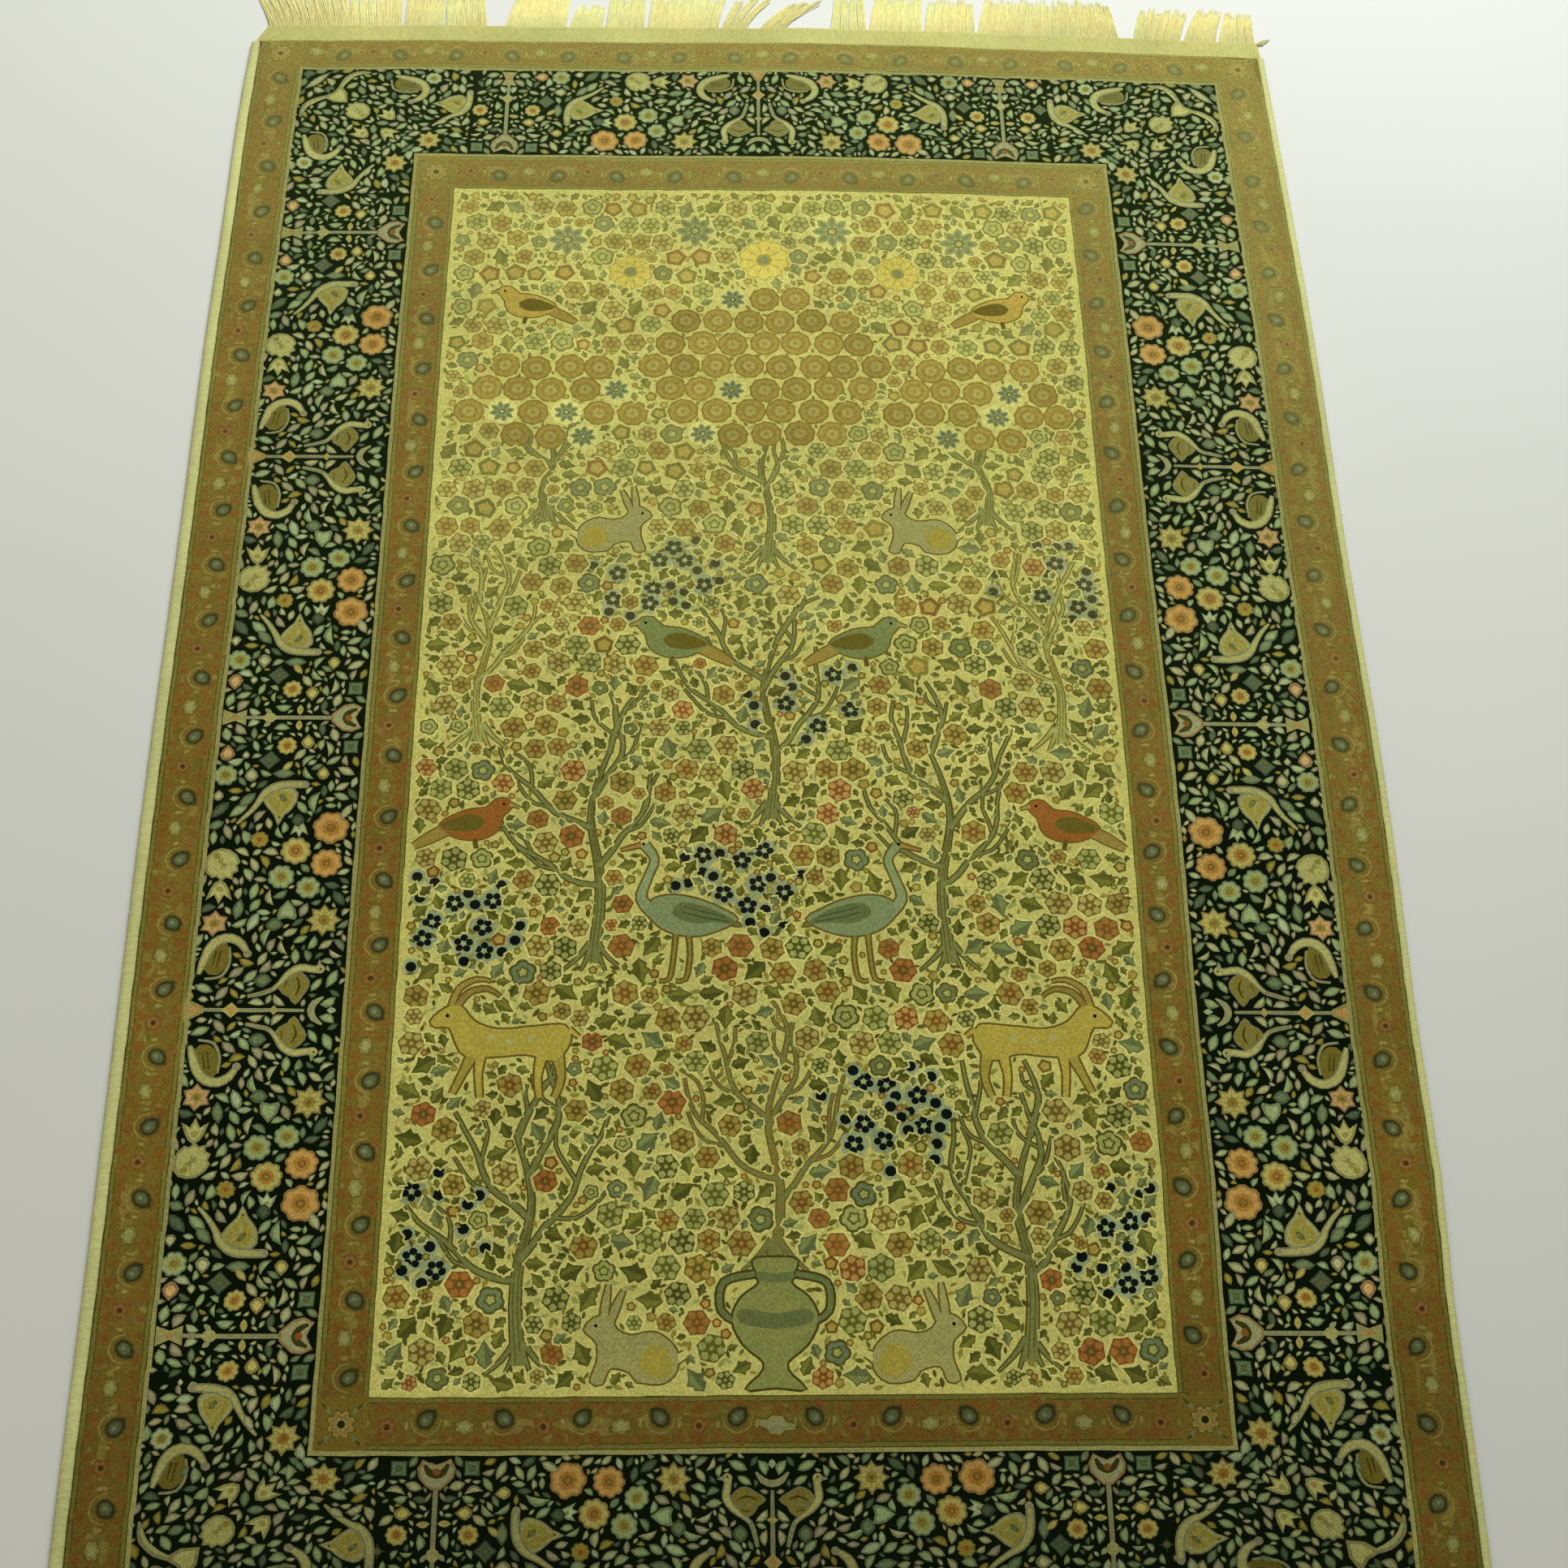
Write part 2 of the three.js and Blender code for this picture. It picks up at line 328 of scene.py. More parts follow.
def star_motif(size, dye, points, heart="olive_gold"):
    r = size / 2
    ribs = [ribbon([along(2 * math.pi * k / points, reach * r) for reach in (0.3, 0.62)], (1.1, 0.7))
            for k in range(points)]
    return Design(
        (dye, 0.78, star_outline(points, r, 0.68)),
        (dye, 1.06, star_outline(points, r * 0.82, 0.68)),
        *((dye, 0.82, rib) for rib in ribs),
        (heart, 0.98, disc(r * 0.34, 8)),
        ("ember", 0.84, disc(r * 0.15, 6)),
    )


def rosette_motif(size, dye, heart="ember", petals=9):
    """Light outer petals about a deeper ring and a dark eye."""
    r = size / 2
    return Design(
        (dye, 0.80, petal_ring(petals, r, 0.13)),
        (dye, 1.06, petal_ring(petals, r * 0.86, 0.15)),
        (heart, 1.08, petal_ring(petals, r * 0.50, 0.12)),
        (heart, 0.84, disc(r * 0.27, 8)),
        (dye, 0.86, disc(r * 0.11, 5)),
    )


def cone_motif(size, dye):
    """A half palmette: a flat top and a pointed foot towards +x."""
    outline = size * np.array([[-0.45, -0.34], [-0.30, -0.42], [0.08, -0.34], [0.5, 0.0], [0.08, 0.34],
                               [-0.30, 0.42], [-0.45, 0.34], [-0.36, 0.0]])
    return Design((dye, 0.84, outline), (dye, 1.10, outline * 0.68))


def tulip_motif(size, dye, heart="gold"):
    """Three blades opening towards +x."""
    blades = [(-0.36, -0.2), (-0.1, -0.34), (0.34, -0.48), (0.12, -0.18)]
    outline = size * both_sides(-0.5, blades, 0.5)
    eye = moved(disc(size * 0.13, 7), -0.12 * size)
    return Design((dye, 0.86, outline), (dye, 1.10, outline * 0.72), (heart, 0.90, eye))


def bud_motif(size, dye):
    outline = size * both_sides(0.5, [(0.18, 0.3), (-0.12, 0.42), (-0.42, 0.22)], -0.5)
    return Design((dye, 0.80, outline), (dye, 1.14, outline * 0.6))


def palmette_motif(size, dye):
    """A plump fan with three notches towards +x and a striped heart."""
    fan = [(-0.44, -0.22), (-0.28, -0.38), (-0.04, -0.46), (0.20, -0.42), (0.24, -0.30), (0.42, -0.26),
           (0.40, -0.10)]
    outline = size * both_sides(-0.5, fan, 0.54)
    stripe = leaf_outline(size * 0.46, size * 0.07)
    return Design(
        (dye, 0.84, outline),
        (dye, 1.05, outline * 0.84),
        *(("gold", 0.84, moved(stripe, -0.04 * size, 0, turn)) for turn in (-32, 0, 32)),
        ("olive_gold", 1.0, moved(disc(size * 0.10, 7), -0.30 * size)),
    )


MOTIFS = {
    "leaf": leaf_motif,
    "curl": curl_motif,
    "round": round_motif,
    "star8": lambda size, dye: star_motif(size, dye, 8),
    "corner_star": lambda size, dye: star_motif(size, dye, 8, "ember"),
    "star6": lambda size, dye: star_motif(size, dye, 6),
    "star4": lambda size, dye: star_motif(size, dye, 4, "slate"),
    "rosette": rosette_motif,
    "square": lambda size, dye: rosette_motif(size, dye, "ember", 7),
    "green_rosette": lambda size, dye: rosette_motif(size, dye, "olive_gold", 8),
    "cone": cone_motif,
    "tulip": tulip_motif,
    "bud": bud_motif,
    "palmette": palmette_motif,
}

# Half of one border repeat: s from the bird axis, w out from the inner line, size and turn in degrees

HALF_UNIT = (
    ("leaf", 21.7, 130, 19, 68, "pale"), ("leaf", 16.7, 113, 18, -38, "rose_grey"),
    ("leaf", 38, 102, 18, -52, "rose_grey"), ("leaf", 34, 89, 18, -43, "pale"),
    ("round", 30, 77, 17, 90, "grey_green"), ("leaf", 26, 27, 16, -32, "pale"),
    ("leaf", 32, 13, 20, -26, "pale"), ("leaf", 17, 9, 12, 56, "slate"),
    ("leaf", 52, 79, 16, -30, "cream"), ("leaf", 46, 64, 15, -55, "cream"),
    ("curl", 63, 61, 17, 24, "cream"), ("leaf", 72, 45, 15, -62, "pale"),
    ("leaf", 79, 55, 16, -61, "cream"), ("curl", 75, 77, 20, -18, "pale"),
    ("round", 87, 71, 17, 90, "grey_green"), ("leaf", 67, 21, 16, -55, "cream"),
    ("curl", 57, 12, 15, 59, "cream"), ("star8", 92, 25, 34, 0, "gold"),
    ("leaf", 115, 12.5, 20, 35, "slate"), ("leaf", 133, 8, 12, 60, "slate"),
    ("cone", 102, 60, 22, 0, "pale"), ("leaf", 90, 91, 22, -21, "white_green"),
    ("leaf", 100, 82, 14, 83, "white_green"), ("leaf", 103, 106, 22, -9, "grey_green"),
    ("star6", 88, 127, 28, 0, "blush"), ("leaf", 122, 92.5, 19, -15, "pale"),
    ("curl", 115, 77, 18, 14, "cream"), ("green_rosette", 137, 68, 26, 0, "pale"),
    ("green_rosette", 126, 42, 24, 0, "pale"), ("rosette", 152, 27, 31, 0, "orange"),
    ("rosette", 165, 57, 30, 0, "gold"), ("tulip", 121, 125, 26, 180, "gold_cream"),
    ("palmette", 150, 125, 36, 215, "gold_cream"), ("leaf", 150, 95, 17, 28, "cream"),
    ("leaf", 133, 105, 10, 0, "rose_grey"), ("leaf", 122, 28, 12, 0, "grey_green"),
    ("square", 190, 25, 36, 0, "orange"), ("leaf", 172, 8, 14, 36, "cream"),
    ("rosette", 177, 92, 18, 0, "olive_gold"), ("curl", 184, 74, 15, 27, "pale"),
    ("tulip", 188, 55, 18, 180, "white_green"), ("round", 198, 57, 15, 0, "slate"),
    ("leaf", 185, 123, 18, 22, "rose_grey"), ("leaf", 177, 113, 12, 0, "grey_green"),
    ("leaf", 179, 136, 16, 0, "pale"), ("leaf", 209, 115, 22, -47, "pale"),
    ("leaf", 220, 108, 22, -45, "grey_green"), ("leaf", 209, 133, 24, -42, "slate"),
    ("leaf", 212, 55, 17, 37, "pale"), ("curl", 218, 43, 24, -10, "pale"),
    ("leaf", 214, 27.5, 12, 90, "pale"), ("leaf", 207, 12, 19, -29, "cream"),
    ("leaf", 224, 18, 17, 66, "pale"), ("leaf", 235, 18, 16, -60, "cream"),
    ("leaf", 230, 35, 14, 0, "slate"), ("bud", 225, 136, 12, 0, "cream"),
    ("leaf", 230, 120, 15, 90, "olive_gold"), ("green_rosette", 247, 131, 24, 0, "pale"),
    ("bud", 248, 106, 16, 0, "cream"), ("leaf", 237, 95, 14, -50, "slate"),
    ("leaf", 249, 75, 22, 90, "grey_green"), ("curl", 249, 52, 17, 34, "pale"),
    ("curl", 264, 53, 17, -41, "pale"), ("bud", 250, 37, 15, 0, "gold"),
    ("leaf", 252, 15, 19, 63, "cream"), ("leaf", 264, 28, 16, -55, "pale"),
    ("leaf", 257, 72, 15, -41, "gold"), ("star4", 264, 90, 22, 0, "slate"),
    ("bud", 272, 132, 18, 0, "blush"), ("bud", 270, 114, 9, 0, "cream"),
    ("curl", 277, 34, 18, 190, "cream"), ("star4", 279, 13, 20, 45, "sea_green"),
    ("rosette", 280, 75, 20, 0, "gold"), ("bud", 285, 55, 16, 0, "gold"),
    ("leaf", 280, 105, 14, 20, "pale"), ("curl", 289, 92, 12, 0, "pale"),
    ("leaf", 287, 122, 16, 66, "pale"), ("leaf", 294, 108, 14, 0, "grey_green"),
    ("leaf", 299, 42, 15, 10, "slate"), ("leaf", 299, 57, 9, 0, "pale"),
)

# One side of a border corner: a outwards across it, b outwards along it, from the inner corner

CORNER = (
    ("corner_star", 23, -14, 31, 0, "gold"), ("leaf", 54, -27, 16, -60, "cream"),
    ("curl", 61, -11, 15, 60, "pale"), ("leaf", 87, -6, 13, 20, "pale"),
    ("leaf", 77, 4, 14, 50, "cream"), ("leaf", 59, 4, 15, 80, "slate"),
    ("leaf", 45, 3, 13, 20, "cream"), ("leaf", 46, 19, 17, -50, "pale"),
    ("leaf", 26, 11, 13, 80, "pale"), ("leaf", 11, 7, 14, -40, "sea_green"),
    ("tulip", 66, 36, 24, 40, "gold_cream"), ("leaf", 82, 23, 14, 70, "pale"),
    ("leaf", 98, 32, 14, 10, "slate"), ("leaf", 110, 48, 17, 60, "cream"),
    ("leaf", 129, 49, 15, 20, "pale"), ("leaf", 96, 55, 15, 60, "rose_grey"),
    ("leaf", 118, 70, 14, 30, "pale"), ("leaf", 133, 66, 13, 60, "olive_gold"),
    ("leaf", 85, 50, 13, 80, "pale"), ("green_rosette", 127, -13, 20, 0, "white_green"),
    ("leaf", 137, 4, 14, 80, "grey_green"), ("leaf", 104, 16, 12, 60, "grey_green"),
    ("leaf", 70, 20, 13, 30, "rose_grey"), ("leaf", 106, -12, 14, -30, "grey_green"),
)


def small_bird():
    """One of the pair that stands at the bird axis, in s and w."""
    wing = curve([(7, 45), (16, 39), (25, 34), (34, 38), (39, 47), (36, 56), (27, 61), (18, 57), (14, 50)],
                 5, closed=True)
    back = curve([(14, 89), (17, 76), (21, 66), (30, 59), (38, 52), (43, 43), (42, 34), (41, 26)], 4)
    return Design(
        ("cream", 0.74, swell(wing, 1.5)),
        ("olive_gold", 0.92, wing),
        ("olive_dark", 1.1, stroke([(15, 45), (24, 42), (33, 46)], (1.2, 2.4, 1.0))),
        ("rose_grey", 0.86, stroke([(17, 51), (25, 49), (34, 52)], (1.0, 2.0, 1.0))),
        ("olive", 0.9, stroke([(21, 56), (28, 55), (33, 57)], (1.0, 1.8, 0.8))),
        ("cream", 0.82, ribbon(back, (3.6, 4.6, 4.6, 5, 7, 8, 8, 7))),
        ("gold_cream", 1.08, ribbon(back[6:], (1, 2, 4, 5, 5, 4))),
        ("gold_cream", 1.0, moved(disc(4.8, 9), 42, 25)),
        ("cream", 0.9, [(44, 28), (44, 22), (52, 26)]),
        ("olive_dark", 1.0, moved(disc(1.2, 6), 42, 24)),
    )


def hook():
    """A cream arch over an olive heart."""
    arch = curve([(36, 137), (50, 133), (63, 128), (71, 120), (73, 109), (67, 99), (57, 93)], 5)
    heart = curve([(40, 132), (35, 121), (44, 112), (62, 110), (70, 117), (63, 126)], 5, closed=True)
    return Design(
        ("olive", 1.16, heart),
        ("olive", 0.84, ribbon([(42, 121), (60, 118)], (1.6, 2.6))),
        ("olive_dark", 1.1, ribbon([(44, 125), (60, 122)], (1.0, 2.0))),
        ("cream", 0.80, ribbon(arch, (4, 8, 9, 10, 10, 9, 5))),
        ("gold_cream", 1.06, ribbon(arch, (1.4, 4.6, 6, 7, 7, 6, 1.5))),
        ("cream", 0.85, stroke([(31, 131), (34, 116), (48, 109), (64, 110)], (2.4, 3.0, 2.0))),
        ("rose_grey", 0.95, moved(disc(4.2, 8), 57, 93)),
    )


def big_bird():
    """A nesting bird: a golden breast cradled by its cream back and tail, about its own middle."""
    breast = curve([(-25, -4), (-15, -9), (-6, -16), (8, -19), (15, -9), (13, 5), (6, 13), (-6, 8), (-15, 0)],
                   5, closed=True)
    stripes = []
    for shift, light in ((-4, 0.9), (1, 1.0), (6, 0.9)):
        line = [(-9 + shift, -3 - 0.3 * shift), (-1 + shift, -5), (6 + shift * 0.4, 4 - shift)]
        stripes.append(("gold_cream", light, stroke(line, (1.0, 1.9, 1.0))))
    back = curve([(-25, 35), (-15, 26), (-3, 18), (9, 11), (16, 0), (18, -12), (18, -28)], 5)
    return Design(
        ("cream", 0.80, resized(breast, 1.10)),
        ("gold_cream", 0.96, breast),
        ("olive_gold", 1.10, resized(breast, 0.74)),
        *stripes,
        ("olive", 1.05, moved(leaf_outline(11, 6), 3, -6, 40)),
        ("grey_green", 0.95, moved(disc(2.6, 7), 3, -6)),
        ("cream", 0.80, ribbon(back, (3, 5, 6, 8, 10, 9, 8))),
        ("gold_cream", 1.02, ribbon(back, (1.0, 2.8, 3.4, 4.8, 6, 5.2, 4))),
        ("rose_grey", 1.0, moved(disc(3.8, 8), 18, -27)),
        ("olive_dark", 1.0, moved(disc(1.2, 6), -18, -5)),
    )


def bird_axis():
    """What stands on the bird axis, symmetric in s."""
    return Design(
        ("gold", 0.82, [(-13, 147), (13, 147), (3, 128), (-3, 128)]),
        ("orange", 0.98, [(-8.5, 146), (8.5, 146), (1.5, 131), (-1.5, 131)]),
        ("cream", 0.84, ribbon([(0, 129), (0, 82), (0, 36)], (3.6, 4.2, 3.0))),
        ("gold", 1.0, [(0, 95), (8, 103), (0, 112), (-8, 103)]),
        ("orange", 1.0, [(0, 99), (4, 103), (0, 108), (-4, 103)]),
        ("gold", 0.95, moved(leaf_outline(10, 6), 0, 64)),
        ("cream", 0.9, stroke([(-14, 19), (-8, 27), (0, 30), (8, 27), (14, 19)], (2, 6, 7, 6, 2), 4)),
        ("white_green", 1.0, moved(leaf_outline(9, 6), 0, 11, 90)),
    )


def cup_axis():
    """What stands on the cup axis, symmetric in s."""
    cup = [(-4, 34), (4, 34), (9, 29), (15, 22), (16.5, 13), (12, 4), (7, 7), (0, 10), (-7, 7), (-12, 4),
           (-16.5, 13), (-15, 22), (-9, 29)]
    leaves = []
    for side in (-1, 1):
        leaves += [
            ("cream", 0.92, moved(leaf_outline(9, 5), side * 7.5, 96, 90 - side * 40)),
            ("gold", 0.98, moved(leaf_outline(12, 6.5), side * 9, 65, 0)),
            ("cream", 0.8, moved(leaf_outline(9, 4), side * 6, 40, side * 60)),
        ]
    return Design(
        ("gold_cream", 0.9, [(-9, 140), (9, 140), (4, 128), (9, 117), (-9, 117), (-4, 128)]),
        ("orange", 0.92, disc(3.4, 8) + (0, 128)),
        ("cream", 0.86, ribbon([(0, 120), (0, 80), (0, 32)], (3.6, 4.4, 4.4))),
        ("gold_cream", 0.98, moved(leaf_outline(15, 12), 0, 94, 90)),
        *leaves,
        ("blush", 0.80, cup),
        ("cream", 0.95, np.array(cup) * 0.86 + (0, 2.6)),
        ("olive_dark", 1.0, stroke([(-10, 9), (-6, 17), (0, 20), (6, 17), (10, 9)], (3, 6, 7, 6, 3), 4)),
        ("rust", 1.0, moved(disc(3.6, 8), 0, 17)),
    )


def chart(rows):
    """A design from a table of motifs."""
    design = Design()
    for kind, x, y, size, turn, dye in rows:
        design.at(MOTIFS[kind](size, dye), x, y, turn)
    return design


FILL_DYES = ("pale", "pale", "cream", "grey_green", "white_green", "rose_grey", "slate", "cream",
             "olive_gold")
FILL_SIZES = (16, 13, 10.5, 8.5, 7)
FILL_TRIES = 1000  # for each size
FILL_CELL = 1.0


def winding(x, y):
    """The way small leaves point along a border lane, in degrees."""
    return 55 * math.sin(x / 21 + 0.6) + 40 * math.cos(y / 17)


def diagonal(x, y):
    """The way small leaves point in a corner, in degrees."""
    return 45 + 30 * math.sin((x - y) / 26)


def fill_with_leaves(design, ground, rng, flow=winding, wanted=None, twin=None):
    """Adds small leaves on what is still bare. twin mirrors each leaf where the panel is symmetric."""
    for size in FILL_SIZES:
        for _ in range(FILL_TRIES):
            x, y = ground.pick(rng)
            if wanted and not wanted(x, y):
                continue
            turn = flow(x, y) + rng.choice((-38, 38)) + rng.uniform(-14, 14)
            outline = moved(leaf_outline(size, size * 0.52), x, y, turn)
            shape = [outline] if twin is None else [outline, twin(outline)]
            if not all(ground.bare(part, 0.8) for part in shape):
                continue
            dye = rng.choice(FILL_DYES)
            width = rng.uniform(0.46, 0.60)
            placed = Design()
            placed.at(leaf_motif(size, dye, width, rng.choice((0, 0, 0.14, -0.14))), x, y, turn)
            design.put(placed)
            if twin:
                design.put(placed, twin)
            for part in shape:
                ground.cover(part, 0.5)


def make_half_unit():
    design = Design()
    design.put(small_bird())
    design.put(hook())
    design.at(big_bird(), 219, 80)
    design.put(chart(HALF_UNIT))
    ground = Ground((0, 0), (UNIT_LENGTH, UNIT_DEPTH), FILL_CELL)
    axes = Design()
    axes.at(bird_axis(), 0, 0)
    axes.at(cup_axis(), UNIT_LENGTH, 0)
    for _, outline in design.shapes + axes.shapes:
        ground.cover(outline, 0.4)
    fill_with_leaves(design, ground, random.Random(5))
    return design


CORNER_ARM = 62  # how far a corner reaches back along each lane


def make_corner():
    """The corner square and its two short arms, symmetric about the diagonal."""
    design = Design()

    def twin(outline):
        return np.asarray(outline)[:, ::-1]

    half = Design()
    half.at(big_bird(), 80, -40, 90, 0.95, mirror=True)
    half.put(hook(), lambda p: np.column_stack([p[:, 1] - 6, 68 - p[:, 0]]))
    half.put(chart(CORNER))
    half.add(tone("cream", 0.84), stroke([(138, 62), (134, 80), (122, 92), (106, 98)], (2, 7, 8, 3)))
    half.add(tone("gold_cream", 1.04), stroke([(136, 70), (132, 81), (122, 90), (110, 95)], (1, 4, 4, 1)))
    design.put(half)
    design.put(half, twin)
    design.at(tulip_motif(24, "gold_cream"), 34, 34, 225)
    design.at(palmette_motif(32, "gold_cream"), 72, 72, 45)
    design.at(cone_motif(30, "gold_cream"), 96, 96, 225)
    design.at(leaf_motif(40, "cream", 0.24), 124, 124, -45)
    ground = Ground((-CORNER_ARM, -CORNER_ARM), (UNIT_DEPTH, UNIT_DEPTH), FILL_CELL)
    ground.cover([(-CORNER_ARM, -CORNER_ARM), (0, -CORNER_ARM), (0, 0), (-CORNER_ARM, 0)])
    for _, outline in design.shapes:
        ground.cover(outline, 0.4)
    fill_with_leaves(design, ground, random.Random(9), diagonal, lambda x, y: x >= y - 3, twin)
    return design


def border_lanes():
    """The four lanes of the border: how s and w map to the plan, their axes, and their two ends."""
    side_depth = OUTER_LINE["right"] - INNER_LINE["right"]
    far_depth = OUTER_LINE["far"] - INNER_LINE["far"]
    near_depth = INNER_LINE["near"] - OUTER_LINE["near"]
    up_ends = (INNER_LINE["near"], INNER_LINE["far"])
    across_ends = (INNER_LINE["left"], INNER_LINE["right"])
    return (
        (lambda s, w: (INNER_LINE["left"] - w * side_depth / UNIT_DEPTH, s), SIDE_AXES, up_ends),
        (lambda s, w: (INNER_LINE["right"] + w * side_depth / UNIT_DEPTH, s), SIDE_AXES, up_ends),
        (lambda s, w: (s, INNER_LINE["far"] + w * far_depth / UNIT_DEPTH), END_AXES["far"], across_ends),
        (lambda s, w: (s, INNER_LINE["near"] - w * near_depth / UNIT_DEPTH), END_AXES["near"], across_ends),
    )


def draw_border():
    """The dark border: half repeats mirrored at every axis, then the four corners."""
    design = Design()
    unit = make_half_unit()
    for lane, axes, ends in border_lanes():
        cups = axes[0::2]
        birds = axes[1::2]

        def place(start, reach):
            def to_plan(p):
                s = start + (p[:, 0] / UNIT_LENGTH) * reach
                return np.column_stack(np.broadcast_arrays(*lane(s, p[:, 1])))
            return to_plan

        for bird in birds:
            for cup in cups:
                if abs(bird - cup) < UNIT_LENGTH * 1.3:
                    design.put(unit, place(bird, cup - bird))
        for cup, end in ((max(cups), max(ends)), (min(cups), min(ends))):
            reach = -math.copysign(UNIT_LENGTH * 0.97, end - cup)
            room = abs(end - cup) - 58
            kept = Design()
            kept.shapes = [shape for shape in unit.shapes if shape[1][:, 0].min() > UNIT_LENGTH - room]
            design.put(kept, place(cup - reach, reach))
        for cup in cups:
            design.put(cup_axis(), place(cup, UNIT_LENGTH))
        for bird in birds:
            design.put(bird_axis(), place(bird, UNIT_LENGTH))
    corner = make_corner()
    for across in ("left", "right"):
        for end in ("far", "near"):
            design.put(corner, corner_place(across, end))
    paint_border_shade_and_haze(design)
    return design


def paint_border_shade_and_haze(design):
    """Painted shade and haze: the near border is darkened, where one looks down into the pile, and the far
    one greyed with a painted haze.
    """
    for k, (colour, outline) in enumerate(design.shapes):
        x, y = outline.mean(axis=0)
        # Painted shade: darker towards the near end
        light = float(np.interp(y, (-870, -760, -640), (0.62, 0.76, 0.98)))
        # Painted haze: greyer towards the far right
        share = float(np.interp(y + 0.35 * x, (-200, 900), (0.0, 0.20)))
        mixed = (part * light * (1 - share) + far * share for part, far in zip(colour, tone("painted_haze")))
        design.shapes[k] = (tuple(mixed), outline)


def border_ground(design, left, near, right, far):
    """The dark ground of the border, with painted glare that makes it a little lighter towards the far end.
    """
    steps = np.linspace(near, far, 15)
    for low, high in zip(steps, steps[1:]):
        share = float(np.interp((low + high) / 2, (-200, 860), (0.0, 1.0)))
        design.add(blend("navy", "navy_far_glare", share), bar(left, low, right, high))


def corner_place(across, end):
    side = 1 if across == "right" else -1
    up = 1 if end == "far" else -1
    wide = abs(OUTER_LINE[across] - INNER_LINE[across]) / UNIT_DEPTH
    deep = abs(OUTER_LINE[end] - INNER_LINE[end]) / UNIT_DEPTH

    def to_plan(p):
        a = np.where(p[:, 0] > 0, p[:, 0] * wide, p[:, 0])
        b = np.where(p[:, 1] > 0, p[:, 1] * deep, p[:, 1])
        return np.column_stack([INNER_LINE[across] + side * a, INNER_LINE[end] + up * b])
    return to_plan


# The guard bands

GUARD_PITCH = 34.5


def blend(first, second, share):
    """A linear colour on the way from the first dye to the second."""
    return tuple(a * (1 - share) + b * share for a, b in zip(tone(first), tone(second)))


def guard_bloom():
    """A soft cream and yellow flower."""
    flat = (1, 0.74)
    design = Design()
    design.add(blend("guard", "guard_line", 0.7), petal_ring(6, 10.2, 0.18) * flat)
    design.add(tone("gold", 0.84), petal_ring(6, 8.8, 0.22) * flat)
    design.add(tone("gold_cream", 0.96), petal_ring(5, 5.6, 0.26, 0.4) * flat)
    return design


def guard_poppy():
    """A small dark eye among orange petals."""
    design = Design()
    design.add(blend("guard", "guard_red", 0.9), petal_ring(5, 8.8, 0.24))
    design.add(tone("orange", 0.76), petal_ring(5, 6.2, 0.30, 0.3))
    design.add(tone("rust", 0.64), disc(2.8, 7))
    return design


def guard_drop():
    """A nearly round drop with one pointed corner: a dark ring about a grey-green heart."""
    design = Design()
    drop = np.array([(10.4, 0), (6.6, 5.0), (1.6, 7.2), (-4.4, 6.4), (-8, 2.6), (-8, -2.6), (-4.4, -6.4),
                     (1.6, -7.2), (6.6, -5.0)])
    design.add(blend("guard", "teal_dark", 0.4), drop * 1.26)
    design.add(tone("teal_dark", 0.94), drop * 1.06)
    design.add(blend("teal_dark", "teal", 0.5), drop * 0.74 - (0.4, 0))
    design.add(tone("teal", 0.94), drop * 0.56 - (0.6, 0))
    design.add(tone("pale", 0.86), disc(2.2, 7) - (1.2, 0))
    return design


# Lines along a guard band's edges: how far in from the edge each starts and stops, dye and lightness

EDGE_LINES = (
    (1.0, 0, "guard_line", 0.88),
    (4.4, 1.0, "guard_green", 1.06),
    (5.8, 4.4, "guard_line", 0.98),
)
EDGE_MARGIN = 7  # what the edge lines leave free


def guard_edges(design, start, end, half):
    """The lines along both edges of a stretch of guard band."""
    for inner, outer, dye, light in EDGE_LINES:
        for side in (-1, 1):
            near, far = sorted((side * (half - inner), side * (half - outer)))
            design.add(tone(dye, light), bar(start, near, end, far, GUARD_PITCH))


def streaks(design, length, room, rng):
    """Long soft streaks where the ground of a guard band is worn."""
    for _ in range(round(length / 8)):
        x = rng.uniform(34, length - 34)
        y = rng.uniform(3 - room, room - 3)
        long = rng.uniform(28, 60)
        wide = rng.uniform(7, 12)
        dye = rng.choice(("guard_red", "guard_red", "guard_vine", "guard_line", "guard_green"))
        share = rng.uniform(0.16, 0.34)
        for size, steps in ((1.0, 4), (0.7, 3)):
            streak = moved(leaf_outline(long * size, wide * size, 0, steps), x, y, rng.uniform(-4, 4))
            design.add(blend("guard", dye, share / size), streak)


def spots(design, length, room, rng):
    """Small soft spots all over the ground of a guard band."""
    for _ in range(round(length / 5)):
        place = (rng.uniform(5, length - 5), rng.uniform(-room, room))
        dye = rng.choice(("guard_vine", "guard_red", "guard_red", "guard_line", "guard_green"))
        spot = moved(petal_ring(3, rng.uniform(2.0, 4.6), 0.3, rng.uniform(0, 2), 2), *place)
        design.add(blend("guard", dye, rng.uniform(0.25, 0.6)), spot)


def blots(design, length, room, rng):
    """Redder blots along both edges of a guard band."""
    for x in np.arange(9, length - 6, 17.2):
        for side in (-1, 1):
            place = (x + rng.uniform(-4, 4), side * (room - rng.uniform(1, 5)))
            size = rng.uniform(5, 8.5)
            share = rng.uniform(0.3, 0.6)
            design.add(blend("guard", "guard_red", share), moved(petal_ring(5, size, 0.3, 0, 2), *place))
            heart = moved(petal_ring(3, size * 0.5, 0.3, 0, 2), *place)
            design.add(blend("guard", "guard_red", share + 0.35), heart)


